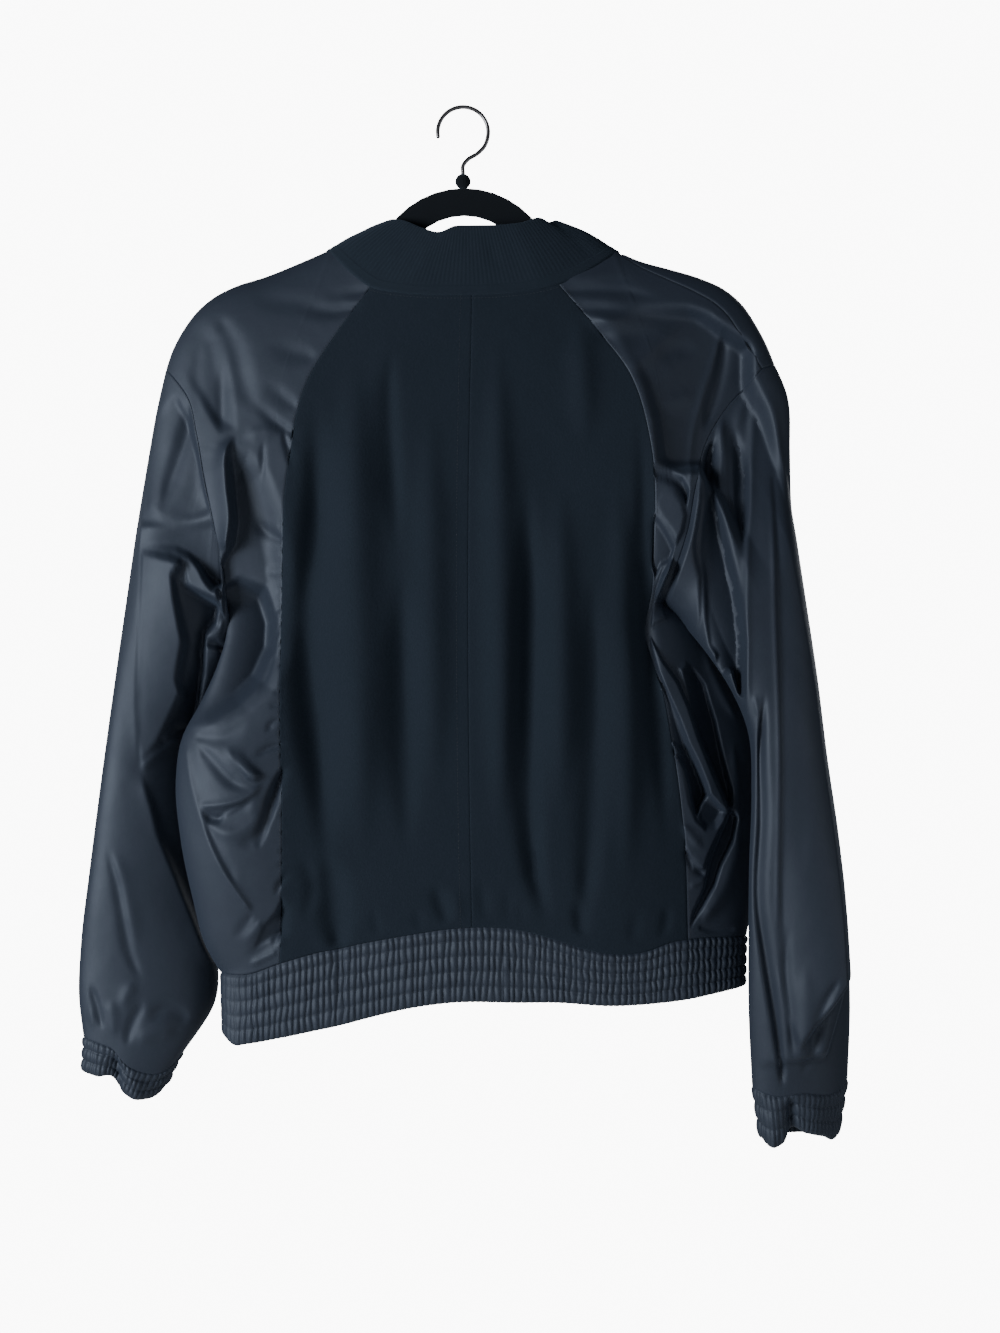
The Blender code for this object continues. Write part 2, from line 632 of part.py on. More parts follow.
def cuff_loop(side, turns):
    """The cuff's bottom ring."""
    outer_x, outer_z, inner_x, inner_z, outer_y, inner_y, depth, drop = CUFF_BOTTOM[side]
    share = (1 - np.cos(turns)) / 2
    face = np.where(turns < math.pi, BACK, FRONT)
    x = outer_x + (inner_x - outer_x) * share
    z = outer_z + (inner_z - outer_z) * share - drop * np.where(turns < math.pi, np.sin(turns), 0)
    y = outer_y + (inner_y - outer_y) * share + face * np.abs(np.sin(turns)) * depth
    return np.stack((x, y, z), axis=-1)


def along_row(coarse, shares, wanted):
    """Points of a coarse row of points at wanted shares of its length."""
    return np.stack([np.interp(wanted, shares, coarse[:, k]) for k in range(coarse.shape[1])], axis=-1)


def row_shares(coarse):
    steps = np.linalg.norm(np.diff(coarse, axis=0), axis=1)
    return np.concatenate(([0.0], np.cumsum(steps))) / steps.sum()


def gathered_band(name, top, bottom, normals, waves, channels, finish, parent, closed):
    """An elastic band: waves that swell in its channels and pinch at its stitch rows.

    top and bottom are rows of points with the same count, normals their outward
    directions. The inside is plain.
    """
    if closed:
        top, bottom, normals = (np.vstack((rows, rows[:1])) for rows in (top, bottom, normals))
    top = top + SEAM_GAP / 2 * unit(bottom - top)
    if not closed:
        for row in (top, bottom):
            row[0] += SEAM_GAP / 2 * unit(row[1] - row[0])
            row[-1] += SEAM_GAP / 2 * unit(row[-2] - row[-1])
    shares = row_shares(top)
    valleys = np.linspace(0, 1, waves + 1)
    both = np.linspace(0, 1, 2 * waves + 1)
    bm = bmesh.new()
    rows = []
    for level in range(2 * channels + 1):
        down = level / (2 * channels)
        base = top + (bottom - top) * down
        swollen = level % 2 == 1
        wanted = both if swollen else valleys
        places = along_row(base, shares, wanted)
        out = unit(along_row(normals, shares, wanted))
        lift = np.where(np.arange(len(wanted)) % 2 == 1, WAVE_HEIGHT, -STITCH_DEPTH / 2)
        places = places + out * (lift[:, None] if swollen else -STITCH_DEPTH)
        verts = [bm.verts.new(place) for place in (places[:-1] if closed else places)]
        rows.append((verts + verts[:1] if closed else verts, wanted))
    for (upper, upper_shares), (lower, lower_shares) in zip(rows[:-1], rows[1:]):
        zip_rows(bm, upper, lower, upper_shares, lower_shares)
    setback = INNER_SETBACK * unit(bottom - top)
    inner_top = top + setback - SHIRRED_WALL * normals
    inner_bottom = bottom - SHIRRED_WALL * normals
    if not closed:
        for row in (inner_top, inner_bottom):
            row[0] += INNER_SETBACK * unit(row[1] - row[0])
            row[-1] += INNER_SETBACK * unit(row[-2] - row[-1])
    inside = []
    for places in (inner_top, inner_bottom):
        verts = [bm.verts.new(place) for place in (places[:-1] if closed else places)]
        inside.append(verts + verts[:1] if closed else verts)
    quads(bm, inside[1], inside[0], False)
    zip_rows(bm, rows[0][0], inside[0], rows[0][1], shares)
    zip_rows(bm, rows[-1][0], inside[1], rows[-1][1], shares)
    if not closed:
        for end in (0, -1):
            ladder = [row[end] for row, _ in rows]
            levels = np.linspace(0, 1, len(ladder))
            zip_rows(bm, ladder, [inside[0][end], inside[1][end]], levels, (0, 1))
    bmesh.ops.triangulate(bm, faces=bm.faces)
    return add_object(name, finish_mesh(bm, name), finish, parent)


def hem_bottom_loop(top):
    """The hem band's lower edge under each point of its upper edge."""
    curves = {face: keyed(HEM_BOTTOM[face]) for face in (BACK, FRONT)}
    faces = np.where(top[:, 3] < 0, BACK, FRONT)
    x = top[:, 0] * 0.992
    z = np.where(faces == BACK, curves[BACK].at(x)[:, 0], curves[FRONT].at(x)[:, 0])
    y = np.where(faces == BACK, body_y(x, z, BACK), body_y(x, z, FRONT))
    edge = np.abs(top[:, 4]) > 0.5
    middle = np.where(x < 0, SWINGS.at(z)[:, 0], SWINGS.at(z)[:, 1])
    return np.stack((x, np.where(edge, middle, y), z), axis=-1)


def collar_piece(neck, neck_normals, marks, parent):
    """The rib-knit stand collar from the neck seam up; marks are the neck's corners."""
    shares = row_shares(neck)
    corners = shares[list(marks)]
    tops = [SmoothLine(rows) for rows in COLLAR_TOP.values()]
    count = 2 * COLLAR_RIBS + 1
    wanted = np.linspace(0, 1, count)
    bottom = along_row(neck, shares, wanted)
    out = unit(along_row(neck_normals, shares, wanted))
    top = np.empty_like(bottom)
    for piece, (start, end) in zip(tops, zip(corners[:-1], corners[1:])):
        beyond = wanted >= start - 1e-9
        top[beyond] = piece.at((wanted[beyond] - start) / (end - start))
    bottom = bottom + SEAM_GAP / 2 * unit(top - bottom)
    side_step = unit(np.gradient(top, axis=0))
    top_out = unit(np.cross(side_step, unit(top - bottom)))
    if (top_out * out).sum() < 0:
        top_out = -top_out
    bm = bmesh.new()
    outside, inside = [], []
    coarse = list(range(0, count, 4))
    for level in (0, 1, 2):
        down = level / 2
        base = bottom + (top - bottom) * down + COLLAR_ROLL * math.sin(math.pi * down) * top_out
        facing = unit(out * (1 - down) + top_out * down)
        rib = np.where(np.arange(count) % 2 == 1, RIB_HEIGHT / 2, -RIB_HEIGHT / 2)
        places = base + facing * (rib[:, None] if level else 0)
        outside.append([bm.verts.new(place) for place in places])
        lowered = base[coarse] - RIB_WALL * facing[coarse]
        if level == 0:
            lowered += INNER_SETBACK * unit(top - bottom)[coarse]
        inside.append([bm.verts.new(place) for place in lowered])
    for upper, lower in ((0, 1), (1, 2)):
        quads(bm, outside[upper], outside[lower], False)
        quads(bm, inside[lower], inside[upper], False)
    coarse_shares = wanted[coarse]
    zip_rows(bm, outside[0], inside[0], wanted, coarse_shares)
    zip_rows(bm, outside[2], inside[2], wanted, coarse_shares)
    for end in (0, -1):
        quads(bm, [row[end] for row in outside], [row[end] for row in inside], False)
    bmesh.ops.triangulate(bm, faces=bm.faces)
    return add_object("collar", finish_mesh(bm, "collar"), "rib", parent)


def zip_path():
    """z down the zip, and the fronts' outer y there."""
    top = float(keyed(NECK_FRONT).at(ZIP_X)[0]) - 1
    bottom = float(keyed(HEM_BOTTOM[FRONT]).at(ZIP_X)[0])
    z = np.linspace(top, bottom, ZIP_ROWS)
    return z, body_y(np.full_like(z, ZIP_X), z, FRONT)


def zip_strip(name, low_x, high_x, outer_y, inner_y, finish, parent):
    """A strip that follows the fronts down the zip, between two depths below them."""
    z, surface = zip_path()
    bm = bmesh.new()
    rings = []
    for height, y in zip(z, surface):
        corners = ((low_x, y - outer_y), (high_x, y - outer_y), (high_x, y - inner_y), (low_x, y - inner_y))
        rings.append([bm.verts.new((x, depth, height)) for x, depth in corners])
    for upper, lower in zip(rings[:-1], rings[1:]):
        quads(bm, upper, lower, True)
    for ring in (rings[0], rings[-1]):
        bm.faces.new(ring)
    return add_object(name, finish_mesh(bm, name), finish, parent)


def outline_plate(name, outline, low_y, high_y, finish, parent, bevel=0.0):
    """A plate with an x, z outline between two y."""
    bm = bmesh.new()
    face = bm.faces.new([bm.verts.new((x, low_y, z)) for x, z in outline])
    grown = bmesh.ops.extrude_face_region(bm, geom=[face])
    raised = [item for item in grown["geom"] if isinstance(item, bmesh.types.BMVert)]
    bmesh.ops.translate(bm, vec=(0, high_y - low_y, 0), verts=raised)
    made = add_object(name, finish_mesh(bm, name), finish, parent)
    if bevel:
        rounded = made.modifiers.new("Edges", "BEVEL")
        rounded.width = bevel * MM
        rounded.segments = 2
        rounded.limit_method = "ANGLE"
        rounded.angle_limit = math.radians(40)
    return made


def guide(made):
    """Marks an object as a helper of a Boolean."""
    made.hide_render = True
    made.display_type = "WIRE"
    return made


def combine(made, helper, operation):
    change = made.modifiers.new(helper.name, "BOOLEAN")
    change.operation = operation
    change.object = helper
    change.solver = "EXACT"


def rounded_rectangle(centre_x, low_z, high_z, width, radius, steps=4):
    """An x, z outline with round corners, counter-clockwise."""
    outline = []
    for corner, (sign_x, z, sign_z) in enumerate(((1, high_z, -1), (-1, high_z, -1),
                                                 (-1, low_z, 1), (1, low_z, 1))):
        middle_x = centre_x + sign_x * (width / 2 - radius)
        middle_z = z + sign_z * radius
        for step in range(steps + 1):
            angle = math.radians(90 * corner + 90 * step / steps)
            outline.append((middle_x + radius * math.cos(angle), middle_z + radius * math.sin(angle)))
    return outline


def zip_slider(parent):
    """The slider's plate with the bridge that holds its pull tab; returns the tab's hinge."""
    middle_z = SLIDER_TOP - SLIDER_LENGTH / 2
    surface = float(body_y(np.array(ZIP_X), np.array(middle_z), FRONT))
    lean = float(body_y(np.array(ZIP_X), np.array(middle_z - SLIDER_LENGTH / 2), FRONT)) - surface
    plate_y = surface + abs(lean) + 0.4
    outline = rounded_rectangle(ZIP_X, middle_z - SLIDER_LENGTH / 2, SLIDER_TOP, SLIDER_WIDTH, 2)
    slider = outline_plate("zip_slider", outline, plate_y, plate_y + SLIDER_PLATE, "metal", parent)
    front_y = plate_y + SLIDER_PLATE
    hinge_z = middle_z + 2
    outer = BRIDGE_HOLE / 2 + BRIDGE_WIRE
    arch = ((-0.4, -outer), (BRIDGE_RISE, -outer), (BRIDGE_RISE + BRIDGE_WIRE, 0.6 - outer),
            (BRIDGE_RISE + BRIDGE_WIRE, outer - 0.6), (BRIDGE_RISE, outer), (-0.4, outer),
            (-0.4, BRIDGE_HOLE / 2), (BRIDGE_RISE, BRIDGE_HOLE / 2),
            (BRIDGE_RISE, -BRIDGE_HOLE / 2), (-0.4, -BRIDGE_HOLE / 2))
    bm = bmesh.new()
    side = [bm.verts.new((ZIP_X - BRIDGE_WIDTH / 2, front_y + y, hinge_z + z)) for y, z in arch]
    far = [bm.verts.new((ZIP_X + BRIDGE_WIDTH / 2, front_y + y, hinge_z + z)) for y, z in arch]
    quads(bm, side, far, True)
    bm.faces.new(side)
    bm.faces.new(far)
    bridge = guide(add_object("bridge_guide", finish_mesh(bm, "bridge_guide"), "metal", parent))
    combine(slider, bridge, "UNION")
    return front_y + BRIDGE_RISE / 2, hinge_z


def zip_pull_tab(hinge_y, hinge_z, parent):
    """The pull tab, its origin on the hinge through the slider's bridge."""
    hinge = bpy.data.objects.new("zip_pull_hinge", None)
    hinge.location = (ZIP_X * MM, hinge_y * MM, hinge_z * MM)
    hinge.parent = parent
    bpy.context.scene.collection.objects.link(hinge)
    top = TAB_BAR / 2
    outline = rounded_rectangle(0, top - TAB_LENGTH, top, TAB_WIDTH, 1.4)
    tab = outline_plate("zip_pull_tab", outline, -TAB_WALL / 2, TAB_WALL / 2, "metal", hinge)
    slot = rounded_rectangle(0, -top - TAB_SLOT_LENGTH, -top, TAB_SLOT_WIDTH, 0.5, 2)
    cutter = guide(outline_plate("slot_guide", slot, -TAB_WALL, TAB_WALL, "metal", hinge))
    combine(tab, cutter, "DIFFERENCE")


def arm_line(side, x):
    """The height of an arm's top edge."""
    start_x, start_z, slope = ARM_TOP[side]
    return start_z + (x - start_x) * slope


def hanger_outline():
    """The hanger's flat outline: two arms with round tips and the neck arch."""
    outline = []

    def arc(middle, radius, start, end, steps):
        for angle in np.radians(np.linspace(start, end, steps)):
            outline.append((middle[0] + radius * math.cos(angle), middle[1] + radius * math.sin(angle)))

    def shoulder(side):
        x = ARM_SHOULDER[side]
        outline.append((x, arm_line(side, x)))

    def tip(side, start, end):
        x = math.copysign(ARM_REACH, ARM_SHOULDER[side])
        arc((x, arm_line(side, x) - TIP_HEIGHT / 2), TIP_HEIGHT / 2, start, end, 9)

    arc(ARCH_CENTRE, ARCH_OUTER, ARCH_ENDS[RIGHT][0], ARCH_ENDS[LEFT][0], 17)
    shoulder(LEFT)
    tip(LEFT, 108, 290)
    arc(ARCH_CENTRE, ARCH_INNER, ARCH_ENDS[LEFT][1], ARCH_ENDS[RIGHT][1], 15)
    tip(RIGHT, 250, 432)
    shoulder(RIGHT)
    return outline


def hanger_pieces(parent):
    """The flat hanger with its boss, and the wire hook."""
    hanger = outline_plate("hanger", hanger_outline(), -HANGER_WALL / 2, HANGER_WALL / 2,
                           "velvet", parent, bevel=1.2)
    bm = bmesh.new()
    bmesh.ops.create_uvsphere(bm, u_segments=16, v_segments=10, radius=BOSS_RADIUS)
    bmesh.ops.translate(bm, vec=(0, 0, BOSS_Z), verts=bm.verts)
    boss = guide(add_object("boss_guide", finish_mesh(bm, "boss_guide"), "velvet", parent))
    combine(hanger, boss, "UNION")

    radius = HOOK_INNER_RADIUS + HOOK_WIRE / 2
    crown = [(radius * math.cos(angle), radius * math.sin(angle) - HOOK_INNER_RADIUS)
             for angle in np.radians(np.linspace(-12, HOOK_TIP_ANGLE, 24))]
    line = SmoothLine((*HOOK_NECK, *crown))
    places = line.at(np.linspace(0, 1, 44))
    curve = bpy.data.curves.new("hanger_hook", "CURVE")
    curve.dimensions = "3D"
    curve.bevel_depth = HOOK_WIRE / 2 * MM
    curve.bevel_resolution = 2
    curve.use_fill_caps = True
    spline = curve.splines.new("POLY")
    spline.points.add(len(places) - 1)
    for point, (x, z) in zip(spline.points, places):
        point.co = (x * MM, 0, z * MM, 1)
    add_object("hanger_hook", curve, "wire", parent)


def build_jacket(parent):
    """Every cloth piece, and the seam lines that the zip needs."""
    rows = grid_of(ARMHOLE_ROWS + SIDE_ROWS)
    wrapped_rows = np.concatenate((WRAP_ROWS, rows))
    centre_columns = np.linspace(0, 1, CENTRE_COLUMNS + 1)
    grids = {}
    for side in (LEFT, RIGHT):
        grids["centre", side] = panel_grid(back_centre(side), centre_columns, rows)
        grids["side", side] = panel_grid(back_side(side), columns(BACK), rows)
        front_rows = rows if side == LEFT else wrapped_rows
        grids["front", side] = panel_grid(front(side), columns(FRONT), front_rows)
        for kind, name, thickness, finish in (("centre", "back_centre", CREPE_WALL, "crepe"),
                                              ("side", "back_side", SATIN_WALL, "satin"),
                                              ("front", "front", SATIN_WALL, "satin")):
            wall(f"{name}_{side}", *grids[kind, side], thickness, finish, parent)
        build_sleeve(side, grids, parent)
    build_hem(grids, parent)
    build_collar(grids, parent)


def build_sleeve(side, grids, parent):
    back_edge = grids["side", side][0][:, -1]
    front_edge = grids["front", side][0][:, -1]
    armhole_count = len(ARMHOLE_ROWS)
    extra = len(WRAP_ROWS) if side == RIGHT else 0
    down_the_back = back_edge[:armhole_count]
    up_the_front = front_edge[1:armhole_count + extra - 1][::-1]
    loop = np.vstack((down_the_back, up_the_front))
    rings, turns = sleeve_grid(side, loop)
    normals = tube_normals(rings)
    wall(f"sleeve_{side}", rings, normals, SATIN_WALL, "satin", parent, closed=True)
    gathered_band(f"cuff_{side}", rings[-1], cuff_loop(side, turns), normals[-1], CUFF_WAVES,
                  CUFF_CHANNELS, "satin", parent, closed=True)


def joined_edges(parts):
    """Rows of points end to end, shared ends once, with where each part starts."""
    points, normals, marks = [], [], [0]
    for row_points, row_normals in parts:
        first = 0 if not points else 1
        points.extend(row_points[first:])
        normals.extend(row_normals[first:])
        marks.append(len(points) - 1)
    return np.array(points), np.array(normals), marks


def build_hem(grids, parent):
    parts = []
    for kind, side, face, turn in (("front", LEFT, FRONT, 1), ("side", LEFT, BACK, -1),
                                   ("centre", LEFT, BACK, -1), ("centre", RIGHT, BACK, 1),
                                   ("side", RIGHT, BACK, 1), ("front", RIGHT, FRONT, -1)):
        points, normals = (grid[-1][::turn] for grid in grids[kind, side])
        flags = np.zeros((len(points), 2))
        flags[:, 0] = face
        if kind != "centre":
            flags[-1 if turn == 1 else 0, 1] = 1
        parts.append((np.hstack((points, flags)), normals))
    loop, normals, _ = joined_edges(parts)
    bottom = hem_bottom_loop(loop)
    gathered_band("hem_band", loop[:, :3].copy(), bottom, unit(normals), HEM_WAVES, HEM_CHANNELS,
                  "satin", parent, closed=False)


def build_collar(grids, parent):
    parts = []
    for kind, side, turn in (("front", LEFT, 1), ("side", LEFT, -1), ("centre", LEFT, -1),
                             ("centre", RIGHT, 1), ("side", RIGHT, 1), ("front", RIGHT, -1)):
        count = {"front": NECK_COLUMNS[FRONT] + 1, "side": NECK_COLUMNS[BACK] + 1,
                 "centre": CENTRE_COLUMNS + 1}[kind]
        points, normals = (grid[0][:count][::turn] for grid in grids[kind, side])
        parts.append((points, normals))
    neck, normals, marks = joined_edges(parts)
    corners = (marks[0], marks[1], marks[3], marks[5], marks[6])
    collar_piece(neck, unit(normals), corners, parent)


def build_zip(parent):
    low, high = ZIP_X - CHAIN_WIDTH / 2, ZIP_X + CHAIN_WIDTH / 2
    zip_strip("zip_chain", low, high, 0.1, 0.1 + CHAIN_DEPTH, "metal", parent)
    tape_y = max(SATIN_WALL, SHIRRED_WALL) + 0.35
    for side, start, end in ((LEFT, low - 0.3 - TAPE_WIDTH, low - 0.3),
                             (RIGHT, high + 0.3, high + 0.3 + TAPE_WIDTH)):
        zip_strip(f"zip_tape_{side}", start, end, tape_y, tape_y + TAPE_WALL, "tape", parent)
    hinge_y, hinge_z = zip_slider(parent)
    zip_pull_tab(hinge_y, hinge_z, parent)


def main():
    for old in list(bpy.data.objects):
        bpy.data.objects.remove(old)
    jacket = bpy.data.objects.new("bomber_jacket", None)
    bpy.context.scene.collection.objects.link(jacket)
    build_jacket(jacket)
    build_zip(jacket)
    hanger_pieces(jacket)


main()
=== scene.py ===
"""The looks of a satin and crepe bomber jacket on a slim hanger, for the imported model.

The frame is the model's: metres, +Z up, the origin inside the crown of the hanger's hook. The jacket's
back faces -Y and its zip faces +Y; left and right are as seen from the back. Tables are in millimetres.
"""

from __future__ import annotations

import json
import logging
import math
from dataclasses import dataclass, field
from enum import Enum
from functools import partialmethod
from typing import Any, Callable, ClassVar, Iterable, NamedTuple

import bmesh
import bpy
import numpy as np
from bpy.types import Material, Mesh, NodeSocket, NodeTree, Object
from mathutils import Matrix, Vector

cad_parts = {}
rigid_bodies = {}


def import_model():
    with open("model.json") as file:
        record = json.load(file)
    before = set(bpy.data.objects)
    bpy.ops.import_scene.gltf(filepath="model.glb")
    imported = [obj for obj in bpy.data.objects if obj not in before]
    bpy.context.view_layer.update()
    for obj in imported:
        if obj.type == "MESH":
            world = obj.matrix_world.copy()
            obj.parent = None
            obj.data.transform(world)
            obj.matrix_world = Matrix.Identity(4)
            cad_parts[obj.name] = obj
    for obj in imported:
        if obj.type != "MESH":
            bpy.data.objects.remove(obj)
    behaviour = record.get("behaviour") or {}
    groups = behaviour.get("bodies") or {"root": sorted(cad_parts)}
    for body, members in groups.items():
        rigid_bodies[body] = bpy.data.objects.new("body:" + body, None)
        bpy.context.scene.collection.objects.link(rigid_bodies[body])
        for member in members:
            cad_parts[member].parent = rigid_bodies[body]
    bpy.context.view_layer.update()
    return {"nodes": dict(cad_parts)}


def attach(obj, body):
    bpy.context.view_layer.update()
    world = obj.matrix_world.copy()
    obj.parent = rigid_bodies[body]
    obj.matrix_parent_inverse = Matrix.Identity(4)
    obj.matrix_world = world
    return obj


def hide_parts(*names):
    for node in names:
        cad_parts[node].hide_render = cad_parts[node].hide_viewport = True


LOG = logging.getLogger("jacket")
MM = 0.001
Array = np.ndarray


class Side(Enum):
    """A side of the jacket as seen from its back."""

    LEFT = "left"
    RIGHT = "right"


class Face(Enum):
    """The half of the body that a surface belongs to; its value is the way it faces in y."""

    BACK = -1
    FRONT = 1


L, R, BACK, FRONT = Side.LEFT, Side.RIGHT, Face.BACK, Face.FRONT


def numbers(words: str, width: int = 2) -> tuple[tuple[float, ...], ...]:
    """Rows of a table of numbers, two to a row unless said."""
    return tuple(zip(*[map(float, words.split())] * width))


# --- Seams and outlines, in x and z ---

CENTRE_BACK = numbers("8 -155.5 5 -328 6 -575 8 -685")
PRINCESS = {
    L: numbers("-74 -149 -102 -188 -129 -233 -145 -309 -150 -402 -150 -516 -148 -612 -151 -714"),
    R: numbers("""77 -147 110 -186 140 -228 156 -284 158 -379 157.5 -405 152 -440 158 -465 166 -489 171 -513
        184 -607 188 -695"""),
}
SIDE_SEAM = {
    L: numbers("""-199 -417 -198 -440 -205 -467 -218 -497 -234 -528 -239 -563 -235 -612 -225 -663 -215 -702
        -203 -724"""),
    R: numbers("168 -415 184 -425 201 -439 218 -460 236 -490 247 -525 250 -570 251 -615 247 -660 240 -696"),
}
SHOULDER = {
    L: numbers("""-109 -117 -134 -128 -166 -141 -191 -149 -208 -157.5 -223 -170 -235 -186 -244 -203 -249.5
        -219"""),
    R: numbers("126 -118 147 -127 172 -134 199 -142 219 -151 234 -163.5 246 -181 256 -200 262 -215"),
}
# Share of the shoulder, how far the front wraps over it
SHOULDER_WRAP = numbers("0 0 .25 9 .55 16 .8 17 1 13")
ARMHOLE = {
    (L, BACK): numbers("-249.5 -219 -240 -229 -229 -244 -221 -274 -214 -312 -205 -355 -199 -391 -199 -417"),
    (L, FRONT): numbers("""-249.5 -219 -238 -234 -222 -255 -208 -285 -199 -320 -193 -355 -192 -390 -199
        -417"""),
    (R, BACK): numbers("249.5 -220 240 -231 224 -248 206 -276 194 -315 186 -357 175 -392 168 -415"),
    (R, FRONT): numbers("262 -215 250 -236 232 -258 207 -294 190 -335 175 -372 165 -398 168 -415"),
}
NECK = {
    BACK: numbers("""-109 -117 -93 -134 -74 -149 -57 -153 -36 -155 0 -155.5 31 -154.6 56 -152 77 -147 98
        -137 126 -118"""),
    FRONT: numbers("-109 -117 -92 -144 -68 -168 -36 -189 5 -199 47 -191 81 -170 107 -145 126 -118"),
}
HEM_TOP = {
    BACK: numbers("""-203 -724 -181 -724 -151 -714 -124 -706 -92 -699 -43 -690 -10 -685 48 -686.5 76 -694
        100 -702 130 -707 152 -705 175 -697.5 200 -695 240 -696"""),
    FRONT: numbers("-203 -724 -150 -714 -90 -705 5 -696 110 -699 180 -698 240 -696"),
}
HEM_BOTTOM = {
    BACK: numbers("""-203 -772 -190 -783 -181 -782 -154 -777 -117 -769 -80 -760 -43 -751.5 -10 -747 48 -747
        76 -747 125 -750 162 -748.5 191 -745.5 216 -741 240 -737"""),
    FRONT: numbers("-203 -772 -150 -770 -90 -761 5 -744 110 -744 180 -742 240 -737"),
}
# z, half depth of the back and of the front
HALF_DEPTH = numbers("""-90 21 21 -160 26 25 -250 31 29 -350 34 32 -450 36 34 -560 39 37 -640 40 38 -690 33
        31 -725 27 26 -790 25 24""", 3)
SHOULDER_REACH, SIDE_REACH = 120, 72
OVER_THE_NECK = numbers("-62 -93 0 -86 79 -93")
# z, how far y swings at the left and the right side
SIDE_SWING = numbers("""-416 0 0 -432 -6 8 -450 -10 14 -500 -14 20 -560 -16 22 -640 -15 22 -700 -9 18 -740
        -6 12 -790 -4 10""", 3)
SWING_START, SWING_WIDTH = 110, 110
# Outer x, z, inner x, z, outer y, inner y and half depth down each sleeve
SLEEVE = {
    L: numbers("""-249.5 -219 -199 -417 0 0 28 -257 -252 -197 -428 0 5 29 -265 -298 -195 -443 -1 12 30
        -273.5 -352 -199 -466 -2 15 31 -281 -405 -209 -495 -3 22 31 -291.5 -478 -220 -537 -3 32 30 -302.5
        -557 -221 -596 -3 34 28 -313 -637 -215 -662 -2 32 27 -321 -703 -209 -714 0 27 26 -322.5 -745 -212
        -755 0 24 25 -319 -779.5 -237 -793 2 18 21""", 7),
    R: numbers("""249.5 -220 168 -415 -12 0 28 261.5 -246 179 -426 -10 -8 31 268.5 -288 190 -440 -7 -20 34
        276.5 -342 205 -461 -3 -30 36 286 -405 223 -491 1 -40 36 297 -480 236 -530 4 -48 34 304.5 -540 237
        -573 6 -52 32 315 -613 235 -632 6 -52 30 322.5 -682 235 -691 5 -46 29 325.5 -750 236 -754 3 -38 28
        323 -814 240 -816 0 -26 24""", 7),
}
SLEEVE_HEAD = 150
CUFF_BOTTOM = {L: (-321, -808, -250, -822, 4, 16, 18), R: (316, -861, 246, -859, -2, -24, 20)}
COLLAR_TOP = tuple(numbers(part, 3) for part in """.8 21 -150 -24 19 -134 -46 13 -108 -59 6.5 -96 -62 0 -93;
        -62 0 -93 -60 -6 -93.5 -50 -12 -96 -35 -17 -103 -20 -20.5 -107.4 -7 -22 -103 6 -22 -102.5; 6 -22
        -102.5 30 -22 -102 50 -20 -99.5 66 -13 -94 73 -9 -96.5 78.5 -4 -94 79 0 -93.6; 79 0 -93.6 77 6 -97
        64 13 -109 40 19 -134 9.2 21 -150""".split(";"))
ZIP_X, EDGE_TO_ZIP = 5, 4

# --- How each panel's edges are shared out ---

UNDERARM, UNDERARM_Z = 0.385, -416
NECK_SHARE = {BACK: 0.2, FRONT: 0.45}
TOP_BLEND = 0.42
WRAP_STEP, WRAP_SETTLED = 0.006, 2.5
# A seam round the body from the zip to the zip: each panel's kind, side and face, and the way along it
ROUND_THE_BODY = (("front", L, FRONT, 1), ("back_side", L, BACK, -1), ("back_centre", L, BACK, -1),
                  ("back_centre", R, BACK, 1), ("back_side", R, BACK, 1), ("front", R, FRONT, -1))

# --- Creases, rows parted by semicolons: path | width before, width after, rise, peak, fades ----
# Paths are x and z of each place. Before is the left hand of someone who walks the path. A peak of 1 is a
# crisp crease, 2 a soft one. The fades are the shares of the path over which it comes and goes.

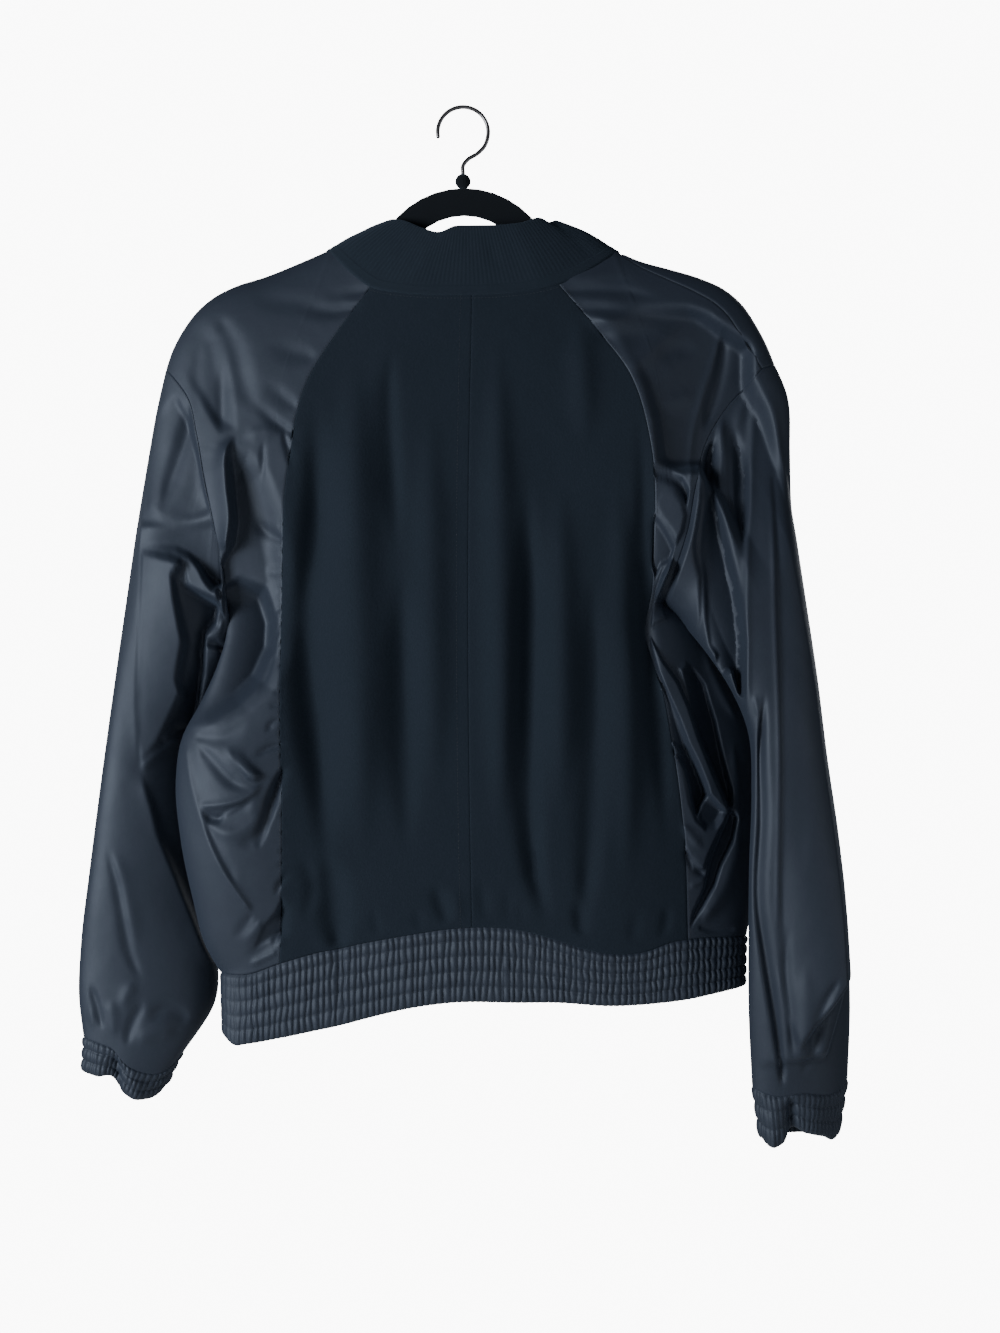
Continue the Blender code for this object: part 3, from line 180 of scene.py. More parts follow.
BACK_FOLDS = """
-119 -161 -97 -158 -73 -154 | 2.9 3.8 -2.6 2 .7 .1;
-142 -169 -113 -173 -83 -170 | 4.2 5 -3.4 2 .6 .1;
-183 -160 -142 -165 -109 -170 | 6.7 7.6 -1.8 2 .5 .4;
-165 -199 -142 -207 -119 -213 | 5.9 7.6 -1.7 2 .5 .2;
-205 -174 -190 -203 -181 -236 -168 -261 | 8.4 10.1 -3.2 2 .15 .4;
-165 -231 -149 -245 -134 -256 | 4.2 5.9 -1.8 2 .5 .2;
-175 -247 -157 -264 -135 -279 | 2.9 3.8 -3.2 2 .6 .08;
-149 -273 -144 -288 -140 -305 | 2.5 2.5 -2.8 2 .2 .1;
-165 -282 -165 -298 -166 -318 | 2.5 2.5 -1.7 2 .3;
-183 -279 -167 -274 -150 -274 | 4.2 5.9 1.8 2 .4 .4;
-219 -187 -222 -224 -219 -265 | 5 5 -1.2 2 .4;
-198 -203 -200 -249 -200 -282 | 4.2 4.2 -1.2 2 .4 .4;
-189 -278 -195 -292 -195 -315 -192 -348 -196 -375 | 2.9 10.9 11 1.5 .15 .1;
-148 -365 -162 -357 -177 -344 | 4.2 4.2 -2.8;
-148 -389 -157 -390 -165 -385 | 3.4 3.4 1.6;
-148 -350 -154 -352 | 1.7 1.7 -1.1;
-148 -372 -153 -375 | 1.7 1.7 -1;
-148 -404 -157 -406 | 1.8 1.8 -1.4;
-149 -418 -154 -421 -161 -430 | 2 2 -2;
-149 -432 -155 -435 | 1.7 1.7 -1.3;
-152 -437 -157 -446 -161 -456 | 2.2 2.2 -2.2 2 .15;
-149 -447 -154 -449 | 1.7 1.7 -1.1;
-156 -459 -161 -473 -168 -492 | 2.5 2.9 -2.4 2 .15;
-148 -455 -153 -458 | 1.7 1.7 -1;
-148 -466 -154 -469 | 1.7 1.7 -1;
-148 -488 -157 -490 | 1.7 1.7 -1;
-148 -498 -160 -502 | 1.8 1.8 -1.2;
-148 -511 -155 -514 -162 -523 | 2.2 2.2 -2 2 .1 .4;
-146 -521 -153 -524 | 1.7 1.7 -1;
-146 -532 -157 -535 -173 -544 | 2.2 2.9 -2.6 2 .08;
-145 -540 -152 -543 | 1.7 1.7 -1;
-145 -548 -149 -562 -157 -578 -165 -600 -172 -616 | 3.4 3.8 -4 2 .1 .4;
-145 -567 -150 -576 -155 -588 | 2.2 2.2 -1.8;
-145 -588 -151 -592 | 1.7 1.7 -1;
-145 -603 -151 -606 | 1.7 1.7 -.9;
-144 -618 -152 -621 | 1.8 1.8 -1.3;
-144 -628 -153 -633 | 1.7 1.7 -1.4;
-144 -638 -149 -646 -154 -657 | 2.2 2.5 -2.6 2 .1 .4;
-144 -665 -150 -673 -153 -681 | 2 2.2 -1.4;
-146 -684 -153 -692 -158 -700 | 2.5 2.5 -2.2 2 .1 .4;
-148 -692 -151 -699 | 1.7 1.7 1.6 2 .1 .3;
-226 -518 -204 -515 -185 -501 | 6.7 5 2.6 2 .1 .6;
-223 -526 -196 -527 -175 -512 | 5 5.9 -2.4 2 .15;
-219 -531 -204 -547 -190 -562 -173 -570 | 5 5 -3.2 2 .2 .3;
-195 -532 -183 -549 -165 -561 | 5.9 4.2 3 1.6 .3 .2;
-216 -583 -195 -582 -177 -576 -162 -563 | 5 2.5 3.2 1.4 .1 .2;
-213 -588 -198 -593 -182 -585 -170 -573 | 3.4 5.9 -3 2 .15 .3;
-208 -600 -187 -605 -170 -596 -155 -580 | 5 5.9 2.2 2 .3 .3;
-186 -616 -171 -610 -160 -596 | 4.2 5 -1.8 2 .4 .3;
-229 -531 -224 -560 -215 -590 -203 -620 -186 -651 -172 -671 | 3.8 7.6 4.2 1.15 .06 .06;
-212 -593 -200 -620 -183 -652 | 5 2.5 -2.2 2 .2 .3;
-173 -672 -181 -684 -190 -695 | 4.2 4.2 -1.8;
-165 -676 -170 -685 -183 -699 | 3.4 3.4 1.4 2 .2;
-145 -661 -150 -681 -165 -700 -183 -712 | 7.6 6.7 -3.4 2 .2 .4;
-153 -704 -165 -710 -178 -717 | 2.2 3 2 1.5 .1 .3;
-123 -240 -121 -290 -122 -366 -129 -414 -129 -463 -123 -521 -116 -578 -111 -644 | 16.8 12.6 -14.5 2 .3 .3;
-134 -620 -124 -648 -131 -681 | 5 5 -3.2 2 .4 .4;
-112 -620 -108 -648 -106 -673 -103 -704 | 11.8 10.1 -8 2 .35 .1;
-91 -207 -88 -331 -84 -496 -83 -628 | 18.5 20.2 10.2 2 .3 .3;
-58 -199 -60 -249 -56 -315 -53 -381 | 5 9.2 -5.8 1.6 .3 .4;
-50 -381 -48 -496 -45 -628 | 10.9 11.8 -8 2 .35 .35;
-27 -249 -25 -414 -22 -578 | 12.6 14.3 6.5 2 .35 .35;
-74 -665 -71 -681 -69 -691 | 2.5 2.5 -2.3 2 .5 .1;
-23 -644 -18 -665 -13 -680 | 5 4.2 -4.4 2 .5 .1;
-8 -648 -5 -665 -4 -679 | 3.4 2.5 2 2 .5 .1;
-40 -665 -36 -677 -35 -685 | 2.9 2.9 -2.3 2 .6 .1;
15 -636 17 -657 19 -679 | 2.5 2.5 -3.2 2 .6 .1;
38 -644 38 -665 38 -681 | 2.5 2.5 -2.3 2 .6 .1;
49 -657 48 -681 | 2.5 2.5 -2 2 .6 .1;
29 -191 31 -331 33 -496 31 -620 | 12.6 13.4 8 2 .3 .3;
54 -306 56 -414 54 -545 61 -644 72 -685 | 9.2 10.9 -10.2 2 .3 .15;
81 -315 82 -455 81 -595 | 12.6 12.6 8.7 2 .35 .35;
97 -175 100 -232 102 -290 | 10.1 10.9 5.2 2 .35 .45;
108 -381 110 -496 105 -620 99 -685 | 9.2 10.9 -7.2 2 .35 .15;
128 -306 133 -414 137 -545 135 -661 | 10.9 11.8 7.2 2 .35 .35;
95 -657 97 -673 98 -690 | 4.2 4.2 -5.8 2 .6 .1;
146 -665 143 -681 141 -697 | 3.4 3.4 -2.2 2 .6 .1;
170 -665 169 -679 167 -692 | 2.4 2.4 -4.1 1.8 .4 .1;
146 -249 150 -306 151 -381 153 -446 160 -504 166 -562 171 -628 | 5.9 7.6 -7.2 2 .3 .3;
107 -145 126 -146 148 -147 | 2.2 2.5 -1.8 2 .25;
83 -157 101 -155 123 -155 167 -162 | 4.2 3.8 -3.6 2 .12 .4;
85 -147 105 -143 130 -140 | 3.4 4.2 1.6 2 .2 .4;
90 -171 114 -171 146 -176 | 3.8 4.2 -1.9 2 .2 .4;
93 -164 114 -164 138 -166 | 3.4 3.4 1.4 2 .3 .4;
99 -183 123 -181 146 -171 | 5 4.2 1.6 2 .2 .4;
104 -193 134 -193 167 -191 | 6.7 9.2 -2.8 2 .2;
137 -226 159 -203 188 -175 | 8.4 5.9 2 2 .2 .4;
159 -212 184 -203 200 -207 | 6.7 6.7 -1.4 2 .4 .4;
163 -249 184 -245 196 -236 | 6.7 6.7 1.2 2 .4 .4;
217 -181 212 -207 202 -239 194 -265 190 -290 188 -325 186 -343 | 4.2 4.2 2.2 1.6 .15 .25;
221 -184 217 -216 209 -247 201 -272 | 5 5 -4 2 .15 .2;
206 -170 207 -191 | 2.5 2.5 -1.2 2 .2;
182 -598 191 -611 201 -621 | 4.2 3.4 2 2 .2 .4;
184 -621 193 -634 203 -644 | 2.5 3.4 -2.6 2 .1 .25;
188 -652 196 -648 203 -644 | 2.9 2.9 1.8 1.5 .2 .2;
232 -600 227 -633 214 -661 198 -682 | 8.4 7.6 3.8 2 .25 .15;
196 -686 212 -689 231 -689 | 2.5 2.5 -2.4 2 .1 .2;
201 -446 209 -470 221 -496 232 -516 | 5 5 3.6 2 .3 .2;
226 -529 230 -570 232 -611 | 4.2 5 3 2 .3 .3"""
LEFT_SLEEVE_FOLDS = """
-258 -275 -267 -330 -269 -413 -272 -496 -270 -550 | 2.5 8.4 1.8 1.4 .15 .1;
-226 -240 -231 -272 -243 -314 -251 -343 | 7.6 6.7 -3.4 2 .2 .3;
-215 -280 -213 -314 -208 -347 | 5.9 5.9 2.6 2 .3 .4;
-214 -449 -206 -448 -196 -456 | 2.2 2.2 -3.2 1.6 .1 .1;
-229 -520 -249 -536 -269 -553 | 5 2.5 3.4 1.3 .1 .1;
-269 -553 -261 -584 -250 -621 -234 -664 -217 -709 -207 -733 | 2.5 11.8 3.6 1.2 .12 .12;
-298 -617 -289 -644 -283 -677 -277 -710 -267 -732 | 3.8 3.8 -2.6 2 .3 .15;
-291 -617 -281 -662 -271 -704 | 7.6 5 1.6 2 .3 .3;
-312 -732 -306 -748 -301 -770 | 3 3 -2.6 2 .3 .1;
-311 -753 -309 -770 | 2.5 2.5 1 2 .3 .1;
-273 -732 -279 -740 -284 -755 | 4.2 4.2 2.8 1.6 .2 .3;
-265 -747 -274 -762 -281 -782 | 3.4 3.4 -3.6 2 .15 .08;
-269 -748 -264 -755 | 2.5 2.5 1.6 1.6 .2 .2;
-263 -763 -248 -755 -229 -767 | 4.2 4.2 -3.4 2 .2 .2;
-273 -782 -254 -773 -238 -775 | 6.7 6.7 2.6 2 .2 .3;
-293 -745 -291 -775 | 5 5 1.8 2 .3 .1"""
RIGHT_SLEEVE_FOLDS = """
241 -238 235 -251 230 -271 | 4.2 4.2 2.8 1.6 .1 .4;
243 -228 243 -251 241 -283 238 -332 234 -381 232 -430 232 -512 230 -626 230 -708 232 -773 234 -804 | 7.6 3.4
5 1.15 .03 .03;
175 -404 181 -414 188 -422 | 2.2 2.2 -1.8 2 .3 .4;
168 -407 178 -424 191 -447 204 -455 | 3.4 3.4 2 1.6 .2 .2;
257 -308 256 -414 258 -545 257 -643 255 -708 | 3.4 2.5 2.4 1.3 .2 .2;
246 -487 243 -528 243 -594 241 -659 248 -708 257 -765 264 -816 | 5 3.4 -7.6 1.8 .12 .05;
241 -509 238 -491 | 1.7 1.7 1.2 1.6 .2 .3;
266 -674 264 -708 268 -753 271 -791 | 3.4 3.4 -2.6 2 .3 .15;
256 -708 265 -757 268 -781 | 3.4 3.4 1.2 2 .3 .3;
308 -721 296 -741 289 -765 287 -788 281 -804 | 3.4 4.2 -3.6 1.8 .12 .08;
313 -732 301 -757 294 -790 | 5.9 4.2 2.2 2 .25 .2;
279 -708 279 -757 276 -798 | 6.7 6.7 1.6 2 .3 .2;
285 -791 283 -804 | 1.5 1.5 1.4 1.5 .2 .1;
281 -381 286 -447 289 -512 | 10.1 10.1 1.2 2 .3 .3;
272 -496 276 -577 276 -643 | 8.4 8.4 -1 2 .3 .3;
247 -212 246 -228 | 1.7 1.7 -1.6 2 .3 .2"""
FRONT_FOLDS = """
-120 -215 -112 -400 -118 -690 | 12 10 -4.5 2 .3 .15;
-84 -230 -80 -430 -88 -690 | 14 14 3 2 .3 .2;
-50 -240 -54 -440 -48 -690 | 10 12 -3 2 .35 .15;
-26 -260 -22 -450 -28 -690 | 9 9 2 2 .35 .2;
36 -240 40 -440 34 -690 | 9 10 -2.6 2 .35 .15;
66 -235 72 -450 64 -690 | 13 13 3 2 .35 .2;
100 -220 112 -430 104 -690 | 11 11 -4 2 .3 .15;
140 -260 150 -450 146 -690 | 13 14 3.4 2 .35 .2;
-232 -196 -185 -250 -150 -300 | 9 10 -2.6 2 .2;
-205 -180 -160 -215 -110 -240 | 8 9 2.2 2 .2;
-196 -330 -186 -410 -196 -470 -210 -560 | 8 11 -5.5 2 .2 .3;
-206 -470 -178 -560 -150 -640 | 10 8 3.6 1.5 .15 .4;
-228 -560 -190 -620 -150 -650 | 7 9 -3.4 2 .15;
-220 -640 -180 -672 -140 -690 | 6 8 -2.8 2 .15;
236 -190 190 -240 150 -290 | 9 10 -2.8 2 .2;
210 -172 165 -200 120 -232 | 8 9 2.2 2 .2;
176 -360 170 -430 190 -500 206 -590 | 9 9 -5.5 2 .2 .3;
180 -440 196 -520 190 -620 | 8 10 3.4 1.5 .2 .4;
236 -560 200 -620 158 -655 | 8 7 -3.4 2 .15;
-64 -660 -66 -700 | 3 3 -1.8 2 .5 .1;
-100 -664 -102 -706 | 3 3 -2 2 .5 .1;
-20 -655 -18 -698 | 3 3 -1.6 2 .5 .1;
24 -655 26 -698 | 3 3 -1.6 2 .5 .1;
84 -655 86 -699 | 3 4 -2.2 2 .5 .1;
128 -650 124 -699 | 4 3 -2 2 .5 .1;
170 -645 174 -698 | 4 4 -2.4 2 .5 .1;
-150 -670 -146 -712 | 4 3 -2.2 2 .5 .1"""

# --- Planes between creases, rows parted by semicolons: outline | rise, tilt to the right and up, rim ---
# A second rim is that of the right-hand borders.

BACK_FACETS = """
101 -175 146 -166 196 -166 245 -199 245 -306 170 -310 159 -300 155 -265 146 -236 130 -207 | -13 -.38 0 11.8;
-190 -286 -175 -287 -158 -305 -145 -339 -137 -381 -134 -430 -139 -465 -153 -491 -175 -509 -198 -519 -224
-521 -224 -496 -216 -446 -210 -405 -198 -377 -191 -365 -189 -348 -191 -327 -193 -302 | -12 -.15 0 2.5 28.6;
-206 -405 -183 -392 -162 -400 -152 -430 -153 -455 -165 -483 -183 -502 -206 -516 -223 -517 -218 -488 -213
-446 | -15 -.4 0 2.5 15.1;
-242 -184 -216 -176 -198 -191 -188 -232 -185 -273 -200 -278 -213 -257 -224 -239 -238 -222 | -4 -.18 0 6.7
16.8;
-147 -547 -147 -560 -150 -575 -154 -591 -160 -607 -165 -619 -173 -616 -170 -606 -165 -591 -162 -575 -156
-561 | -3.4 -.3 0 3.8;
-192 -537 -183 -535 -171 -549 -161 -558 -169 -565 -177 -562 -184 -550 | 2.2 .12 -.1 4.2;
-215 -584 -200 -582 -185 -580 -175 -577 -182 -583 -193 -590 -198 -597 -208 -598 -213 -591 | -2.6 -.1 .2 2.9;
-165 -682 -154 -670 -147 -652 -145 -690 -158 -695 -171 -703 -177 -709 | -3.4 -.15 0 3.4;
155 -442 158 -446 166 -463 179 -481 188 -501 196 -525 203 -542 212 -563 220 -581 223 -591 214 -586 205 -576
202 -566 195 -549 187 -533 179 -512 170 -492 162 -473 157 -456 | 7 .1 0 1.5;
179 -470 186 -463 194 -470 203 -483 207 -498 212 -514 216 -533 221 -554 226 -572 226 -588 220 -581 212 -563
203 -542 196 -525 188 -501 | -10 -.6 0 2.5;
160 -473 170 -493 178 -513 186 -534 194 -550 201 -567 204 -576 199 -583 195 -593 191 -581 188 -566 184 -552
179 -544 174 -541 170 -527 165 -506 | -7 -.6 0 1.5;
173 -530 179 -534 183 -543 176 -542 | 4 .2 0 1.3;
176 -547 182 -549 186 -566 189 -582 195 -596 203 -603 210 -602 217 -594 223 -591 214 -608 206 -624 201 -638
191 -638 183 -611 177 -578 | 2.6 .12 0 1.8;
195 -578 201 -577 209 -582 218 -589 211 -600 203 -602 197 -596 | -3 -.2 0 1.7;
226 -588 231 -595 227 -615 217 -634 211 -652 199 -673 188 -690 191 -673 201 -652 206 -629 214 -610 222 -593
| -10 -.3 0 2.5;
176 -377 170 -385 165 -392 160 -407 159 -414 163 -414 166 -405 170 -393 | 16 1.6 0 1.7;
159 -414 164 -413 168 -422 170 -428 160 -433 156 -438 157 -426 | 5 .2 0 1.3;
158 -334 163 -324 170 -319 176 -320 183 -331 186 -343 183 -357 177 -371 170 -357 162 -345 | 2.2 .1 -.05 4.2;
156 -304 165 -302 174 -306 183 -313 188 -323 186 -336 182 -328 176 -319 168 -315 160 -313 | -4.5 -.15 0 1.8;
156 -341 163 -348 170 -359 176 -371 172 -381 165 -385 160 -397 156 -381 | -6 -.1 0 2"""
LEFT_SLEEVE_FACETS = """
-258 -255 -238 -240 -225 -264 -215 -299 -206 -340 -221 -348 -251 -347 -265 -337 -263 -289 | -3 -.14 -.055
5.9 5.9;
-271 -348 -239 -352 -206 -348 -200 -370 -199 -401 -208 -402 -215 -394 -220 -385 -228 -377 -238 -372 -251
-370 -271 -369 | -7 -.14 .26 2.5;
-267 -373 -243 -377 -231 -382 -239 -395 -237 -413 -234 -431 -231 -448 -234 -465 -237 -480 -234 -492 -243
-511 -253 -531 -268 -549 -271 -521 -271 -488 -269 -446 -268 -413 | 6 .24 0 1.2;
-230 -378 -224 -379 -219 -386 -214 -396 -208 -403 -202 -405 -202 -416 -214 -410 -226 -403 -229 -397 | 3.4
.25 -.1 1.7;
-240 -394 -230 -380 -228 -400 -234 -403 | -1.6 -.3 0 1.3;
-240 -395 -228 -402 -215 -410 -203 -417 -206 -431 -214 -441 -216 -455 -217 -471 -220 -488 -223 -504 -228
-518 -236 -531 -253 -531 -241 -509 -234 -492 -237 -480 -234 -463 -231 -446 -234 -430 -238 -411 | -8 -.6 0
2.5;
-204 -410 -195 -411 -192 -446 -192 -458 -200 -454 -206 -448 -215 -446 -210 -440 -204 -435 -200 -427 | 4.4 .2
0 1.7;
-215 -450 -206 -452 -194 -459 -198 -475 -204 -494 -214 -507 -225 -519 -221 -496 -217 -475 -216 -459 | 4.4
.25 0 2;
-269 -553 -259 -542 -250 -528 -241 -518 -226 -518 -225 -529 -226 -550 -226 -571 -223 -596 -220 -621 -216
-645 -212 -666 -206 -687 -200 -710 -211 -719 -218 -704 -226 -683 -234 -662 -242 -639 -250 -621 -257 -606
-259 -586 -264 -567 | -6.5 -.22 0 2.5"""
RIGHT_SLEEVE_FACETS = """
195 -292 198 -308 199 -331 196 -350 193 -367 194 -378 198 -394 198 -430 194 -447 201 -453 186 -447 178 -429
168 -419 166 -407 172 -386 183 -358 189 -326 | 7 -.3 0 3.4;
197 -288 204 -283 211 -275 212 -296 209 -312 212 -334 217 -360 223 -385 229 -414 232 -447 231 -496 225 -491
220 -474 212 -480 206 -470 207 -459 202 -452 199 -430 198 -394 194 -373 197 -350 200 -331 199 -308 | -13
-.85 0 4.2 3.8;
212 -249 218 -253 221 -271 224 -293 223 -318 223 -336 226 -353 230 -373 232 -402 227 -402 221 -377 216 -353
212 -332 210 -313 213 -293 212 -271 | 3 -.3 0 3.4;
243 -238 276 -247 286 -316 296 -414 305 -512 317 -626 322 -724 301 -790 237 -798 234 -708 234 -626 234 -430
237 -332 241 -275 | 8 .25 0 2.5;
257 -308 276 -308 289 -365 297 -447 307 -545 317 -643 322 -724 276 -781 263 -749 257 -643 258 -545 256 -414
| 9 .5 0 1.7;
219 -252 225 -261 232 -274 236 -287 239 -308 238 -336 235 -357 232 -381 230 -373 228 -357 225 -336 225 -316
225 -293 223 -271 | -5 -.6 0 3.4 5;
190 -456 203 -453 207 -465 214 -473 220 -486 230 -505 230 -514 223 -503 214 -492 206 -479 198 -467 | 3.4 .2
0 1.5"""


# --- Curves and distances ---

def unit(vectors: Array) -> Array:
    """Vectors at length 1."""
    return vectors / np.maximum(np.linalg.norm(vectors, axis=-1, keepdims=True), 1e-9)


def between(first: Any, second: Any, share: Any) -> Any:
    """What lies at a share of the way from the first to the second."""
    return first + (second - first) * share


def ease(share: Any) -> Array:
    """0 to 1 without corners."""
    share = np.clip(share, 0, 1)
    return share * share * (3 - 2 * share)


def rounding(distance: Array, reach: float) -> Array:
    """0 at an edge and 1 from the reach inwards, along a quarter of an ellipse."""
    return np.sqrt(1 - (1 - np.clip(distance / reach, 0, 1)) ** 2)


def travelled(points: Array) -> Array:
    """The distance along a row of points, from 0 at the first."""
    return np.append(0, np.cumsum(np.linalg.norm(np.diff(points, axis=0), axis=-1)))


class SmoothLine:
    """A smooth curve through a table's rows, read by the share of its length or by its own keys."""

    def __init__(self, rows: Any, keys: Any = None) -> None:
        """Fits the curve.

        Args:
            rows: The table.
            keys: One rising number a row, or None for the share of the length.
        """
        self.rows = np.array(rows, float)
        marks = travelled(self.rows)
        self.keys = marks / marks[-1] if keys is None else np.asarray(keys, float)
        widths = np.diff(self.keys)[:, None]
        slopes = np.diff(self.rows, axis=0) / widths
        inner = (slopes[:-1] * widths[1:] + slopes[1:] * widths[:-1]) / (widths[1:] + widths[:-1])
        self.slopes = np.vstack((slopes[:1], inner, slopes[-1:]))

    def at(self, key: Any) -> Array:
        """The row of the curve at each key.

        Args:
            key: One key or an array of them.

        Returns:
            One row a key.
        """
        key = np.clip(np.asarray(key, float), self.keys[0], self.keys[-1])
        cell = np.clip(np.searchsorted(self.keys, key, side="right") - 1, 0, len(self.keys) - 2)
        width = (self.keys[cell + 1] - self.keys[cell])[..., None]
        part = (key - self.keys[cell])[..., None] / width
        return (between(self.rows[cell], self.rows[cell + 1], 3 * part**2 - 2 * part**3)
                + (part**3 - 2 * part**2 + part) * self.slopes[cell] * width
                + (part**3 - part**2) * self.slopes[cell + 1] * width)


def keyed(rows: Any) -> SmoothLine:
    """A smooth line read by the table's first column, which may fall or rise."""
    table = np.array(sorted(rows), float)
    return SmoothLine(table[:, 1:], table[:, 0])


def off_piece(start: Array, span: Array, x: Array, z: Array) -> tuple[Array, Array, Array]:
    """The share along a straight piece that is nearest to each point, and the point's x and z from there."""
    along = np.clip(((x - start[0]) * span[0] + (z - start[1]) * span[1]) / (span @ span), 0, 1)
    return along, x - start[0] - along * span[0], z - start[1] - along * span[1]


def distance_to(line: Array, x: Array, z: Array) -> Array:
    """The shortest distance from points to a line of x, z rows."""
    nearest = np.full(np.shape(x), np.inf)
    for start, span in zip(line, np.diff(line, axis=0)):
        nearest = np.minimum(nearest, np.hypot(*off_piece(start, span, x, z)[1:]))
    return nearest


# --- Creases and the cloth's own unevenness ---

class Relief:
    """Something pressed into the cloth along a line of x, z places."""

    def line(self) -> tuple[Array, float]:
        """The line, and how far beyond it the cloth is changed."""
        raise NotImplementedError

    def near(self, line: Array, x: Array, z: Array) -> Array:
        """What it adds at points in the line's box."""
        raise NotImplementedError

    def height(self, x: Array, z: Array) -> Array:
        """What it adds at points.

        Args:
            x: Places across.
            z: Places up.

        Returns:
            Millimetres.
        """
        line, reach = self.line()
        low, high = line.min(0) - reach, line.max(0) + reach
        close = (x > low[0]) & (x < high[0]) & (z > low[1]) & (z < high[1])
        height = np.zeros(np.shape(x))
        if close.any():
            height[close] = self.near(line, x[close], z[close])
        return height


@dataclass(frozen=True)
class Fold(Relief):
    """One crease: a ridge where its rise is above 0, a trough below it."""

    path: tuple[tuple[float, float], ...]
    before: float
    after: float
    rise: float
    peak: float = 2
    fade_in: float = 0.1
    fade_out: float = 0.5
    TAPER: ClassVar[float] = 0.3

    def line(self) -> tuple[Array, float]:
        """Its path, smoothed, and three times its width."""
        line = SmoothLine(self.path).at(np.linspace(0, 1, 4 * len(self.path) - 3))
        return line, 3 * max(self.before, self.after)

    def near(self, line: Array, x: Array, z: Array) -> Array:
        """Its height from the nearest piece of the line.

        Args:
            line: The places along it.
            x: Places across.
            z: Places up.

        Returns:
            One height a point.
        """
        best = np.full(x.shape, np.inf)
        width, share = np.ones(x.shape), np.zeros(x.shape)
        marks = travelled(line)
        for start, span, mark in zip(line, np.diff(line, axis=0), marks):
            along, off_x, off_z = off_piece(start, span, x, z)
            off = np.hypot(off_x, off_z)
            closer = off < best
            on_left = span[0] * off_z - span[1] * off_x > 0
            best = np.where(closer, off, best)
            width = np.where(closer, np.where(on_left, self.before, self.after), width)
            share = np.where(closer, (mark + along * math.hypot(*span)) / marks[-1], share)
        fade = ease(share / self.fade_in) * ease((1 - share) / self.fade_out)
        width *= between(0.35, 1, np.minimum(1, np.minimum(share, 1 - share) / self.TAPER))
        return self.rise * fade * np.exp(-((best / width) ** self.peak))


@dataclass(frozen=True)
class Facet(Relief):
    """A plane of cloth between creases, pressed out or in and tilted to the right and up."""

    outline: tuple[tuple[float, float], ...]
    rise: float
    to_right: float
    up: float
    rim: float
    soft_rim: float | None = None

    def line(self) -> tuple[Array, float]:
        """Its closed outline, beyond which nothing changes."""
        return np.array((*self.outline, self.outline[0]), float), 0

    def near(self, line: Array, x: Array, z: Array) -> Array:
        """The plane within the outline.

        Args:
            line: The places along it.
            x: Places across.
            z: Places up.

        Returns:
            One height a point, 0 outside.
        """
        inside = np.zeros(x.shape, bool)
        turn = np.sum(line[:-1, 0] * line[1:, 1] - line[1:, 0] * line[:-1, 1])
        away = {True: np.full(x.shape, np.inf), False: np.full(x.shape, np.inf)}
        for piece in zip(line[:-1], line[1:]):
            (start_x, start_z), (end_x, end_z) = piece
            right = (end_z - start_z) * turn > 0
            away[right] = np.minimum(away[right], distance_to(np.array(piece), x, z))
            if start_z != end_z:
                beside = x < between(start_x, end_x, (z - start_z) / (end_z - start_z))
                inside ^= ((start_z > z) != (end_z > z)) & beside
        middle = line[:-1].mean(0)
        plane = self.rise + self.to_right * (x - middle[0]) + self.up * (z - middle[1])
        return plane * inside * ease(away[False] / self.rim) * ease(away[True] / (self.soft_rim or self.rim))


def rows_of(table: str) -> list[tuple[Any, ...]]:
    """The rows of a table: for each its places, then its own numbers."""
    halves = (row.split("|") for row in table.split(";"))
    return [(numbers(places), *map(float, form.split())) for places, form in halves]


def folds_of(rows: Iterable[tuple[Any, ...]], scale: float = 1.0, drop: float = 0.0,
             mirror: bool = False) -> list[Fold]:
    """The creases of a table.

    Args:
        rows: The table's rows.
        scale: What their rises are multiplied by.
        drop: How far down they are moved.
        mirror: Whether they are turned over in x.

    Returns:
        The creases.
    """
    turn = -1 if mirror else 1
    return [Fold(tuple((turn * x, z - drop) for x, z in path), *widths[::turn], rise * scale, *form)
            for path, *widths, rise, form in ((row[0], *row[1:4], row[4:]) for row in rows)]


def facets_of(table: str) -> list[Facet]:
    """The planes of a table."""
    return [Facet(*row) for row in rows_of(table)]


def softened(values: Array, closed: bool = False) -> Array:
    """A grid of values blurred twice over its neighbours, its borders kept.

    Args:
        values: Rows and columns of values.
        closed: Whether the columns run round a tube.

    Returns:
        The blurred grid.
    """
    inner = slice(None) if closed else slice(1, -1)
    for _ in range(2):
        made = values.copy()
        made[1:-1] = values[1:-1] / 2 + (values[:-2] + values[2:]) / 4
        soft = made / 2 + (np.roll(made, 1, axis=1) + np.roll(made, -1, axis=1)) / 4
        values = values.copy()
        values[1:-1, inner] = soft[1:-1, inner]
    return values


def total_height(folds: Iterable[Relief], x: Array, z: Array) -> Array:
    """What all the creases and planes add at points."""
    return sum((fold.height(x, z) for fold in folds), np.zeros(np.shape(x)))


